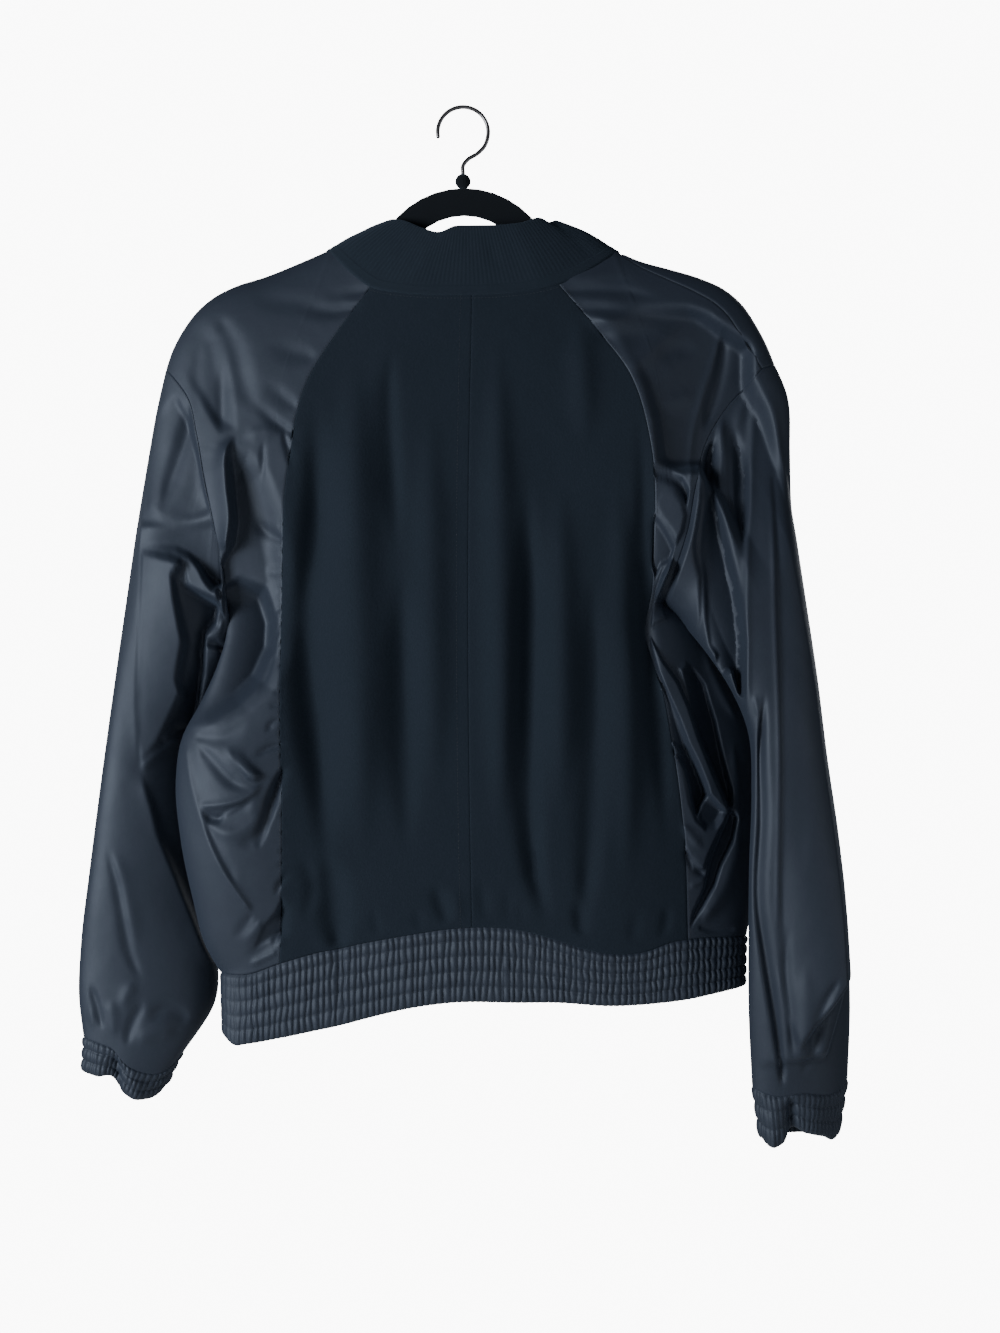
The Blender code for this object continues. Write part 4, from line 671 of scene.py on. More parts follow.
@dataclass(frozen=True)
class Unevenness:
    """Soft random hills of cloth: a sum of smoothed random grids, the same in each run."""

    seed: int
    layers: tuple[tuple[float, float], ...] = ((46.0, 0.7), (19.0, 0.24), (8.0, 0.08))  # size, height
    cells: int = 64
    start: tuple[float, float] = (200.3, 400.7)

    def at(self, x: Array, z: Array) -> Array:
        """The hills at points.

        Args:
            x: Places across.
            z: Places up.

        Returns:
            One height a point, in millimetres.
        """
        height = np.zeros(np.shape(x))
        for layer, (size, rise) in enumerate(self.layers):
            grid = np.random.default_rng(self.seed + layer).uniform(-1, 1, (self.cells, self.cells))
            u, v = np.asarray(x) / size + self.start[0], np.asarray(z) / size + self.start[1]
            column, row = np.floor(u).astype(int), np.floor(v).astype(int)
            part_u, part_v = ease(u - column), ease(v - row)
            low, high = (between(*(grid[(row + i) % self.cells, (column + j) % self.cells] for j in (0, 1)),
                                 part_u) for i in (0, 1))
            height += rise * between(low, high, part_v)
        return height


# --- The body's form ---

class BodyForm:
    """Where the body's cloth lies in y, from its outline, its depth and its creases."""

    def __init__(self) -> None:
        """Draws the outline and fits the tables."""
        over = [SmoothLine(SHOULDER[side]).at(np.linspace(0, 1, 24)) for side in (L, R)]
        sleeves = [np.array(SLEEVE[side])[1:8, :2] for side in (L, R)]
        self.top = np.vstack((sleeves[0][::-1], over[0][::-1], OVER_THE_NECK, over[1], sleeves[1]))
        self.sides = [self._side_line(side) for side in (L, R)]
        self.depths, self.swings = keyed(HALF_DEPTH), keyed(SIDE_SWING)
        self.folds = {BACK: folds_of(rows_of(BACK_FOLDS)) + facets_of(BACK_FACETS),
                      FRONT: folds_of(rows_of(FRONT_FOLDS))}
        self.unevenness = {BACK: Unevenness(3), FRONT: Unevenness(11)}

    @staticmethod
    def _side_line(side: Side) -> Array:
        """The side seam, carried down the hem band."""
        seam = SmoothLine(SIDE_SEAM[side]).at(np.linspace(0, 1, 40))
        return np.vstack((seam, (seam[-1, 0], *keyed(HEM_BOTTOM[BACK]).at(seam[-1, 0]))))

    def middle(self, x: Array, z: Array) -> Array:
        """y halfway between the faces."""
        swing = self.swings.at(z)
        return sum(swing[..., k] * ease((sign * x - SWING_START) / SWING_WIDTH)
                   for k, sign in enumerate((-1, 1)))

    def fullness(self, x: Array, z: Array) -> Array:
        """The share of the body's depth at x, z: 0 at the outline."""
        full = rounding(distance_to(self.top, x, z), SHOULDER_REACH)
        for line in self.sides:
            full = full * rounding(distance_to(line, x, z), SIDE_REACH)
        return full

    def y(self, x: Array, z: Array, face: Face, creased: bool = True) -> Array:
        """y of the outer cloth at x, z.

        Args:
            x: Places across.
            z: Places up.
            face: The half of the body.
            creased: Whether the creases are in.

        Returns:
            y in millimetres.
        """
        depth = self.depths.at(z)[..., 0 if face is BACK else 1]
        if creased:
            depth = depth + total_height(self.folds[face], x, z) + self.unevenness[face].at(x, z)
        return self.middle(x, z) + face.value * self.fullness(x, z) * depth


Edge = Callable[[Array], Array]


@dataclass
class Panel:
    """A four-sided piece of one face of the body: its edges in x, z, blended between them."""

    form: BodyForm
    face: Face
    top: Edge
    bottom: Edge
    inner: Edge
    outer: Edge
    wrap: Callable[[Array], tuple[Array, Array]] | None = None

    def flat(self, across: Array, down: Array) -> Array:
        """Where the panel's shares lie in x and z.

        Args:
            across: Shares across.
            down: Shares down.

        Returns:
            One x, z row a share.
        """
        a = across[..., None]
        near_top = np.clip(1 - down / TOP_BLEND, 0, 1)[..., None] ** 2
        near_bottom = ease((down - TOP_BLEND) / (1 - TOP_BLEND))[..., None]
        place = between(self.inner(down), self.outer(down), a)
        for edge, near in ((self.top, near_top), (self.bottom, near_bottom)):
            place = place + near * (edge(across) - between(edge(across * 0), edge(across * 0 + 1), a))
        return place

    def place(self, across: Array, down: Array) -> Array:
        """Where the panel's shares lie.

        Down starts at -1 on a wrapped panel.

        Args:
            across: Shares across.
            down: Shares down.

        Returns:
            One x, y, z row a share.
        """
        if self.wrap is None:
            x, z = np.moveaxis(self.flat(across, down), -1, 0)
            return np.stack((x, self.form.y(x, z, self.face), z), axis=-1)
        shift, amount = self.wrap(across)
        room = WRAP_STEP * (1 - amount)
        over = np.clip(-down, 0, 1)
        main = np.where(down < 0, room * (1 - over), between(room, 1, np.clip(down, 0, 1)))
        x, z = np.moveaxis(self.flat(across, main) + shift * over[..., None], -1, 0)
        behind = (over > 0) & (amount > 0)
        y = np.where(behind, self.form.y(x, z, BACK), self.form.y(x, z, FRONT))
        return np.stack((x, y, z), axis=-1)


class PanelMaker:
    """Makes the body's panels from the seam tables."""

    def __init__(self, form: BodyForm) -> None:
        """Keeps the body's form and fits the shoulders."""
        self.form = form
        self.ridge = {side: SmoothLine(SHOULDER[side]) for side in (L, R)}
        self.wraps = keyed(SHOULDER_WRAP)

    def _wrap_at(self, side: Side, share: Array) -> Array:
        """x, z from the shoulder's ridge to its seam."""
        if side is L:
            return np.zeros((*np.shape(share), 2))
        before, after = (self.ridge[side].at(np.clip(share + step, 0, 1)) for step in (-0.01, 0.01))
        across = unit((after - before)[..., ::-1] * (1, -1))
        return np.where(across[..., 1:] > 0, -across, across) * self.wraps.at(share)

    @staticmethod
    def _on_curve(table: Any, from_x: float, to_x: float) -> Edge:
        """A stretch of a z-at-x curve.

        Args:
            table: Rows of x and z.
            from_x: Where the stretch starts.
            to_x: Where it ends.

        Returns:
            x, z as a function of share.
        """
        curve = keyed(table)

        def stretch(share: Array) -> Array:
            """x, z at a share of the stretch."""
            x = between(from_x, to_x, share)
            return np.stack((x, curve.at(x)[..., 0]), axis=-1)

        return stretch

    @staticmethod
    def _rail(rows: Any) -> Edge:
        """A back seam as a function of share, its last row dropped to the hem line."""
        line = SmoothLine((*rows[:-1], (rows[-1][0], *keyed(HEM_TOP[BACK]).at(rows[-1][0]))))
        return PanelMaker._paced(line)

    @staticmethod
    def _paced(line: SmoothLine) -> Edge:
        """A line as a function of share, level with the underarm at the armhole's share."""
        places = line.at(np.linspace(0, 1, 101))
        level = float(np.interp(UNDERARM_Z, places[::-1, 1], np.linspace(1, 0, 101)))
        pace = keyed(((0, 0), (UNDERARM, level), (1, 1)))
        return lambda share: line.at(pace.at(share)[..., 0])

    @staticmethod
    def _outer_rail(side: Side, face: Face) -> Edge:
        """A side panel's outer edge: the armhole, then the side seam.

        Args:
            side: The side of the jacket.
            face: The half of the body.

        Returns:
            x, z as a function of share.
        """
        armhole, seam = SmoothLine(ARMHOLE[side, face]), SmoothLine(SIDE_SEAM[side])

        def edge(share: Array) -> Array:
            """x, z at a share of the edge."""
            lower = seam.at((share - UNDERARM) / (1 - UNDERARM))
            return np.where((share < UNDERARM)[..., None], armhole.at(share / UNDERARM), lower)

        return edge

    def _side_top(self, side: Side, face: Face, corner_x: float) -> Edge:
        """A side panel's top edge: the neck seam, then the shoulder.

        Args:
            side: The side of the jacket.
            face: The half of the body.
            corner_x: Where the neck seam starts.

        Returns:
            x, z as a function of share.
        """
        split = NECK_SHARE[face]
        neck = self._on_curve(NECK[face], corner_x, SHOULDER[side][0][0])

        def edge(share: Array) -> Array:
            """x, z at a share of the edge."""
            over = (share - split) / (1 - split)
            shoulder = self.ridge[side].at(over)
            if face is BACK:
                shoulder = shoulder + self._wrap_at(side, np.clip(over, 0, 1))
            return np.where((share < split)[..., None], neck(np.clip(share / split, 0, 1)), shoulder)

        return edge

    def back_centre(self, side: Side) -> Panel:
        """The crepe half between the centre-back seam and a princess seam."""
        seam = PRINCESS[side]
        return Panel(self.form, BACK, self._on_curve(NECK[BACK], CENTRE_BACK[0][0], seam[0][0]),
                     self._on_curve(HEM_TOP[BACK], CENTRE_BACK[-1][0], seam[-1][0]),
                     self._rail(CENTRE_BACK), self._rail(seam))

    def back_side(self, side: Side) -> Panel:
        """The satin panel between a princess seam, the shoulder, the armhole and the side seam."""
        seam = PRINCESS[side]
        return Panel(self.form, BACK, self._side_top(side, BACK, seam[0][0]),
                     self._on_curve(HEM_TOP[BACK], seam[-1][0], SIDE_SEAM[side][-1][0]),
                     self._rail(seam), self._outer_rail(side, BACK))

    def front(self, side: Side) -> Panel:
        """A front, from the zip to the armhole and side seam; the right one wraps its shoulder.

        Args:
            side: The side of the jacket.

        Returns:
            The panel.
        """
        edge_x = ZIP_X + (-EDGE_TO_ZIP if side is L else EDGE_TO_ZIP)
        edge = SmoothLine([(edge_x, *keyed(table[FRONT]).at(edge_x)) for table in (NECK, HEM_TOP)])

        def wrap(across: Array) -> tuple[Array, Array]:
            """The wrap's x, z and how settled it is."""
            over = np.clip((across - NECK_SHARE[FRONT]) / (1 - NECK_SHARE[FRONT]), 0, 1)
            return self._wrap_at(side, over), ease(self.wraps.at(over)[..., 0] / WRAP_SETTLED)

        return Panel(self.form, FRONT, self._side_top(side, FRONT, edge_x),
                     self._on_curve(HEM_TOP[FRONT], edge_x, SIDE_SEAM[side][-1][0]),
                     self._paced(edge), self._outer_rail(side, FRONT), wrap if side is R else None)


# --- Meshes of cloth ---

# Half of it lies on each side of a seam (below 0 the pieces lap), how deep their edges turn in, over what
SEAM_GAP, SEAM_TURN, SEAM_ROLL = -0.3, 0.6, 1.5
EDGE_STEPS = (0.4, 0.9, 1.5)


def spaced(length: float, step: float, first: bool = True) -> Array:
    """Shares along a length at an even step, closer together at the edges that turn in.

    Args:
        length: The length in millimetres.
        step: The usual step.
        first: Whether the start is such an edge, as the end is.

    Returns:
        Rising shares from 0 to 1.
    """
    edge = np.array(EDGE_STEPS) / length
    start, end = (edge[-1] if first else 0.0), 1 - edge[-1]
    even = np.linspace(start, end, max(2, int(round((end - start) * length / step)) + 1))
    return np.concatenate(([0, *edge[:-1]] if first else [], even, 1 - edge[-2::-1], [1]))


def grid_lengths(points: Array, axis: int) -> Array:
    """Distances along each row (axis 1) or column (axis 0) of a grid of points."""
    steps = np.linalg.norm(np.diff(points, axis=axis), axis=-1)
    return np.insert(np.cumsum(steps, axis=axis), 0, 0, axis=axis)


def grid_normals(points: Array, closed: bool, outward: Any) -> Array:
    """Directions across a grid of points.

    Args:
        points: Rows and columns of points.
        closed: Whether the columns run round a tube.
        outward: A direction, or one a point, that they agree with on the whole.

    Returns:
        One unit direction a point.
    """
    if closed:
        around = np.roll(points, -1, axis=1) - np.roll(points, 1, axis=1)
    else:
        around = np.gradient(points, axis=1)
    normals = unit(np.cross(around, np.gradient(points, axis=0)))
    return -normals if (normals * outward).sum() < 0 else normals


def quads(ids: Array, closed: bool) -> list[list[int]]:
    """The faces between neighbouring rows and columns of vertex numbers."""
    if closed:
        ids = np.hstack((ids, ids[:, :1]))
    corners = (ids[:-1, :-1], ids[:-1, 1:], ids[1:, 1:], ids[1:, :-1])
    return np.stack([corner.ravel() for corner in corners], axis=1).tolist()


def rim(first: Array, second: Array, second_at: Array, closed: bool) -> list[list[int]]:
    """Triangles between a border and a coarser one.

    Args:
        first: Vertex numbers of the border.
        second: Those of the coarser one.
        second_at: Where each of these lies along the first.
        closed: Whether both run round.

    Returns:
        The faces.
    """
    if closed:
        second_at = np.append(second_at, len(first))
        first, second = np.append(first, first[0]), np.append(second, second[0])
    faces, i, j = [], 0, 0
    while i < len(first) - 1 or j < len(second) - 1:
        if j == len(second) - 1 or (i < len(first) - 1 and i + 1 <= second_at[j + 1]):
            faces.append([int(first[i]), int(first[i + 1]), int(second[j])])
            i += 1
        else:
            faces.append([int(first[i]), int(second[j + 1]), int(second[j])])
            j += 1
    return faces


def linked(name: str, data: Any) -> Object:
    """A new object in the scene."""
    made = bpy.data.objects.new(name, data)
    bpy.context.scene.collection.objects.link(made)
    return made


def reworked(mesh: Mesh, work: Callable[[bmesh.types.BMesh], Any]) -> None:
    """Changes a mesh through a BMesh."""
    bm = bmesh.new()
    bm.from_mesh(mesh)
    work(bm)
    bm.to_mesh(mesh)
    bm.free()


def mesh_object(name: str, places: Array, faces: list[list[int]], uv: Array | None = None) -> Object:
    """A smooth mesh object from places in millimetres.

    Args:
        name: Its name.
        places: One place a vertex.
        faces: Vertex numbers of each face, wound either way.
        uv: One place on the cloth a vertex, in millimetres.

    Returns:
        The object.
    """
    mesh = bpy.data.meshes.new(name)
    mesh.from_pydata((places * MM).tolist(), [], faces)
    if uv is not None:
        loops = np.empty(len(mesh.loops), int)
        mesh.loops.foreach_get("vertex_index", loops)
        mesh.uv_layers.new(name="cloth").data.foreach_set("uv", (uv[loops] * MM).astype(np.float32).ravel())
    reworked(mesh, lambda bm: bmesh.ops.recalc_face_normals(bm, faces=bm.faces))
    mesh.shade_smooth()
    return linked(name, mesh)


@dataclass
class Shell:
    """A thin wall of cloth over a fine grid: outer side, coarser inner side and closed rims."""

    name: str
    points: Array
    outward: Array
    wall: float
    closed: bool = False
    turned: bool = True
    stride: int = 3

    def build(self) -> Object:
        """Makes the cloth, with its UV map in metres along the cloth.

        Returns:
            The object, at the origin.
        """
        outer = self._trimmed()
        inner = outer - self.wall * self.outward
        if self.turned:
            outer = outer - self._turn(outer)[..., None] * self.outward
        rows, columns = outer.shape[:2]
        kept = [np.unique(np.append(np.arange(0, count, self.stride), count - 1))
                for count in (rows, columns)]
        if self.closed and (columns - 1) % self.stride:
            kept[1] = kept[1][:-1]
        inside = inner[np.ix_(*kept)]
        ids = np.arange(rows * columns).reshape(rows, columns)
        inner_ids = ids.size + np.arange(inside[..., 0].size).reshape(inside.shape[:2])
        faces = quads(ids, self.closed) + quads(inner_ids[::-1], self.closed)
        for edge in (0, -1):
            faces += rim(ids[edge], inner_ids[edge], kept[1], self.closed)
            if not self.closed:
                faces += rim(ids[:, edge], inner_ids[:, edge], kept[0], False)
        across = grid_lengths(outer, 1)
        spread = np.stack((across - across[:, -1:] / 2, grid_lengths(outer, 0)), axis=-1)
        places, uv = (np.vstack((whole.reshape(-1, size), part.reshape(-1, size))) for whole, part, size in (
            (outer, inside, 3), (spread, spread[np.ix_(*kept)], 2)))
        return mesh_object(self.name, places, faces, uv)

    def _trimmed(self) -> Array:
        """Moves the grid's borders in by half the gap of a seam.

        Returns:
            The grid.
        """
        moved = self.points.copy()
        for edge, inner in ((0, 1), (-1, -2)):
            moved[edge] += SEAM_GAP / 2 * unit(self.points[inner] - self.points[edge])
            if not self.closed:
                moved[:, edge] += SEAM_GAP / 2 * unit(self.points[:, inner] - self.points[:, edge])
        return moved

    def _turn(self, points: Array) -> Array:
        """How far each point turns in towards its seam."""
        down, across = grid_lengths(points, 0), grid_lengths(points, 1)
        edge = np.minimum(down, down[-1:] - down)
        if not self.closed:
            edge = np.minimum(edge, np.minimum(across, across[:, -1:] - across))
        return SEAM_TURN * np.clip(1 - edge / SEAM_ROLL, 0, 1) ** 2


@dataclass
class Band:
    """A folded band: rows of points up its outer side, over its free edge and down its inner side."""

    name: str
    outer: Array
    inner: Array
    closed: bool

    def build(self) -> Object:
        """Makes the band, its ends capped where it is open.

        Returns:
            The object.
        """
        rows = np.concatenate((self.outer, self.inner[::-1]))
        ids = np.arange(rows[..., 0].size).reshape(rows.shape[:2])
        ids = np.vstack((ids, ids[:1]))
        faces = quads(ids, self.closed)
        if not self.closed:
            faces += [ids[:-1, 0].tolist(), ids[:-1, -1].tolist()]
        uv = np.stack((grid_lengths(rows, 1), grid_lengths(rows, 0)), axis=-1)
        return mesh_object(self.name, rows.reshape(-1, 3), faces, uv.reshape(-1, 2))


def resampled(points: Array, count: int, closed: bool = False) -> Array:
    """A row of points at equal steps of its length."""
    if closed:
        points = np.vstack((points, points[:1]))
    marks = travelled(points[:, :3])
    wanted = np.linspace(0, marks[-1], count, endpoint=not closed)
    return np.stack([np.interp(wanted, marks, column) for column in points.T], axis=-1)


@dataclass(frozen=True)
class Shirring:
    """Gathers of a band over elastic: they swell in channels and pinch at the stitch rows."""

    waves: int
    channels: int
    height: float
    seed: int = 5
    pinch: float = 0.95
    puff: float = 0.6
    sway: float = 0.22
    sizes: tuple[float, float] = (0.55, 1.2)

    def lift(self, along: Array, down: Array) -> Array:
        """The height above the band's own line.

        Args:
            along: Shares round the band.
            down: Shares from its seam to its free edge.

        Returns:
            Millimetres, one a point.
        """
        along, down = np.broadcast_arrays(along, down)
        random = np.random.default_rng(self.seed)
        knots = np.arange(self.waves + 1)
        sway = random.uniform(-self.sway, self.sway, (self.channels + 1, self.waves + 1))
        size = random.uniform(*self.sizes, (self.channels, self.waves + 1))
        channel = np.clip(np.floor(down * self.channels).astype(int), 0, self.channels - 1)
        part = down * self.channels - channel
        phase = along * self.waves
        shift, strength = np.zeros(along.shape), np.zeros(along.shape)
        for number in range(self.channels):
            above, below, own = (np.interp(phase, knots, row)
                                 for row in (*sway[number:number + 2], size[number]))
            shift = np.where(channel == number, between(above, below, part), shift)
            strength = np.where(channel == number, own, strength)
        ridge = np.abs(np.sin(math.pi * (phase + shift))) ** 0.75 - 0.5
        return between(0.6 * self.height * ridge - self.pinch, self.puff + self.height * strength * ridge,
                       np.sin(math.pi * part) ** 0.6)


# --- Pieces of the jacket ---

@dataclass
class Piece:
    """A finished piece and what is kept about it; a cloth piece also has the grid that it was cut along."""

    made: Object
    slot: str
    material: Material
    nodes: tuple[str, ...] = ()
    grid: Array | None = None
    rests_on: tuple[str, ...] = ()
    closed: bool = False
    held: str = "hung"
    fuller: float = 1.0

    def declare(self) -> None:
        """Gives the piece its material, hangs it on the jacket's body and hides the CAD nodes that it stands
        for.
        """
        dress(self.made, self.material)
        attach(self.made, "jacket")
        if self.nodes:
            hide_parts(*self.nodes)
        if self.grid is not None:
            width, length, area = self._cut()
            list(self.rests_on)
        LOG.info("%s: %d faces", self.made.name, len(self.made.data.polygons))

    def _cut(self) -> tuple[float, float, float]:
        """What the cloth is cut to.

        Returns:
            The flat width and length and the area, in metres.
        """
        ring = np.hstack((self.grid, self.grid[:, :1])) if self.closed else self.grid
        width = grid_lengths(ring, 1)[:, -1].max() * self.fuller * MM
        length = grid_lengths(self.grid, 0)[-1].max() * MM
        across, down = np.diff(ring, axis=1)[:-1], np.diff(ring, axis=0)[:, :-1]
        area = np.linalg.norm(np.cross(across, down), axis=-1).sum() * self.fuller * MM**2
        return width, length, min(area, width * length)


def dress(made: Object, material: Material) -> None:
    """Gives an object one material."""
    made.data.materials.clear()
    made.data.materials.append(material)


class Line(NamedTuple):
    """A row of places on the cloth with their outward directions, for thread to follow."""

    places: Array
    outward: Array


def beside(points: Array, outward: Array, by: float, axis: int) -> Line:
    """The line that runs beside the first border of a grid.

    Args:
        points: Rows and columns of points.
        outward: Their directions.
        by: How far it is from the border.
        axis: 0 where the border is a row, 1 where it is a column.

    Returns:
        The line, one place a column or row.
    """
    if axis == 1:
        points, outward = points.transpose(1, 0, 2), outward.transpose(1, 0, 2)
    away = grid_lengths(points, 0)
    return Line(*(np.array([[np.interp(by, away[:, column], grid[:, column, k]) for k in range(3)]
                            for column in range(grid.shape[1])]) for grid in (points, outward)))


@dataclass
class Body:
    """The body's panels: two crepe halves of the back, two satin sides and two satin fronts."""

    form: BodyForm
    # By kind of panel its width for the grid, the grid's step and the wall
    sizes: dict[str, tuple[float, float, float]] = field(default_factory=lambda: {
        "back_centre": (150, 2.2, 1.5), "back_side": (130, 1.35, 1.2), "front": (240, 3.0, 1.2)})
    length: float = 550
    # The rows that a wrapped panel has over the shoulder and in the narrow strip before it
    wrap_rows: int = 14
    strip_rows: int = 5
    strip: float = 0.02
    grids: dict[tuple[str, Side], tuple[Array, Array]] = field(default_factory=dict)
    panels: dict[tuple[str, Side], Panel] = field(default_factory=dict)

    def build(self, satin: Material, crepe: Material) -> list[Piece]:
        """All six panels.

        Args:
            satin: The material of sides and fronts.
            crepe: The material of the centre.

        Returns:
            The pieces.
        """
        maker = PanelMaker(self.form)
        pieces = []
        for side in (L, R):
            for kind, draw in (("back_centre", maker.back_centre), ("back_side", maker.back_side),
                               ("front", maker.front)):
                panel = self.panels[kind, side] = draw(side)
                width, step, wall = self.sizes[kind]
                down = spaced(self.length, step)
                if panel.wrap is not None:
                    down = np.concatenate((
                        np.linspace(-1, 0, self.wrap_rows)[:-1],
                        np.linspace(0, self.strip, self.strip_rows)[:-1],
                        between(self.strip, 1, spaced(self.length - 10, step, first=False))))
                points = panel.place(*np.meshgrid(spaced(width, step), down))
                points[..., 1] = softened(points[..., 1])
                normals = grid_normals(points, False, (0, panel.face.value, 0))
                self.grids[kind, side] = points, normals
                name = f"{kind}_{side.value}"
                made = Shell(f"{name}_cloth", points, normals, wall).build()
                slot, finish, rests_on = (("crepe", crepe, f"back_side_{side.value}") if kind == "back_centre"
                                          else ("satin", satin, "hanger"))
                pieces.append(Piece(made, slot, finish, (name,), points, (rests_on,)))
        return pieces

    def stitches(self) -> list[Line]:
        """Topstitching: beside the centre-back, princess, zip and back neck seams."""
        rows = [("back_centre", L, 9.6, 1)]
        for side in (L, R):
            rows += [("back_side", side, 1.9, 1), ("front", side, 2.2, 1), ("front", side, 7.5, 1)]
        rows += [("back_centre", side, 7.0, 0) for side in (L, R)]
        return [beside(*self.grids[kind, side], by, axis) for kind, side, by, axis in rows]

    def seam_round(self, row: int) -> tuple[Array, list[float]]:
        """A seam round the body from the zip to the zip.

        Args:
            row: The row of the panels' grids along it: 0 for the neck, -1 for the hem.

        Returns:
            Place, direction and facing of each point, and how far along it each panel ends.
        """
        parts, marks = [], [0.0]
        for kind, side, face, turn in ROUND_THE_BODY:
            points, normals = (grid[row] for grid in self.grids[kind, side])
            part = np.hstack((points, normals, np.full((len(points), 1), face.value)))
            if row == 0 and kind != "back_centre":
                part = part[:int(np.searchsorted(spaced(*self.sizes[kind][:2]), NECK_SHARE[face])) + 1]
            marks.append(marks[-1] + travelled(part[::turn, :3])[-1])
            parts.append(part[::turn][1 if parts else 0:])
        return np.vstack(parts), marks


def tube(row: Any, turn: Array) -> tuple[Array, Array, Array]:
    """x, y and z round a flat tube.

    Args:
        row: Outer x, z, inner x, z, outer y, inner y and half depth.
        turn: Angles from the outer edge over the back.

    Returns:
        x, y and z.
    """
    outer_x, outer_z, inner_x, inner_z, outer_y, inner_y, depth = row
    share = (1 - np.cos(turn)) / 2
    facing = np.where(turn < math.pi, -1, 1)
    return (between(outer_x, inner_x, share),
            between(outer_y, inner_y, share) + facing * np.abs(np.sin(turn)) * depth,
            between(outer_z, inner_z, share))


@dataclass
class Sleeve:
    """One sleeve, a tube from its armhole to the cuff's seam."""

    side: Side
    body: Body
    folds: dict[Face, list[Relief]]
    count: int = 204
    step: float = 1.85
    wall: float = 1.2
    fade: float = 9.0
    settling: float = 70.0
    turn: Array = field(init=False)
    rings: Array = field(init=False)
    outward: Array = field(init=False)

    # Share from the outer to the inner edge, and how far the cloth droops over the cuff there
    DROOP = {L: numbers("0 0 .2 2 .33 5 .43 14 .6 20 .85 17 1 2"), R: numbers("0 0 .12 7 .5 6 .85 6 1 1")}

    def _armhole(self) -> Array:
        """The armhole, down the back and then up the front.

        Returns:
            Its closed loop.
        """
        back, front = self.body.panels["back_side", self.side], self.body.panels["front", self.side]
        down = behind = np.linspace(0, UNDERARM, 320)
        if front.wrap is not None:
            down = np.concatenate((np.linspace(-1, 0, 40)[:-1], np.linspace(0, 0.02, 40)[:-1],
                                   np.linspace(0.02, UNDERARM, 300)))
        halves = (back.place(np.ones(len(behind)), behind), front.place(np.ones(len(down)), down)[::-1])
        return np.vstack([resampled(half, self.count // 2 + 1)[:-1] for half in halves])

    def build(self, satin: Material) -> Piece:
        """Makes the sleeve.

        Args:
            satin: The cloth's material.

        Returns:
            The piece.
        """
        loop = self._armhole()
        turn = self.turn = np.concatenate([start + np.linspace(0, math.pi, self.count // 2, endpoint=False)
                                           for start in (0, math.pi)])
        share, behind = (1 - np.cos(turn)) / 2, turn < math.pi
        table = np.array(SLEEVE[self.side])
        bow = loop[:, [0, 2]] - between(table[0, 0:2], table[0, 2:4], share[:, None])
        marks = travelled(table[:, :2])
        down = spaced(marks[-1], self.step) * marks[-1]
        held = 1 - ease(down / SLEEVE_HEAD)[:, None]
        near_end = ease((down - marks[-1] + self.settling) / self.settling)[:, None]
        droop = np.where(behind, keyed(self.DROOP[self.side]).at(share)[:, 0], 0)
        x, y, z = tube(SmoothLine(table, marks).at(down).T[..., None], turn)
        x, z = x + held * bow[:, 0], z + held * bow[:, 1] - near_end * droop
        folds = np.zeros(x.shape)
        for face, half, seed in ((BACK, behind, 31), (FRONT, ~behind, 47)):
            folds[:, half] = (total_height(self.folds[face], x[:, half], z[:, half])
                              + Unevenness(seed).at(x[:, half] * 1.1, z[:, half]))
        shown = np.minimum(1, 1.5 * np.abs(np.sin(turn))) * ease(down / self.fade)[:, None]
        y = between(y, loop[:, 1], held) + np.where(behind, -1, 1) * shown * softened(folds, True)
        rings = self.rings = np.stack((x, y, z), axis=-1)
        rings[0] = loop
        self.outward = grid_normals(rings, True, rings - rings.mean(axis=1, keepdims=True))
        name = f"sleeve_{self.side.value}"
        made = Shell(f"{name}_cloth", rings, self.outward, self.wall, closed=True).build()
        return Piece(made, "satin", satin, (name,), rings,
                     (f"back_side_{self.side.value}", f"front_{self.side.value}"), True)


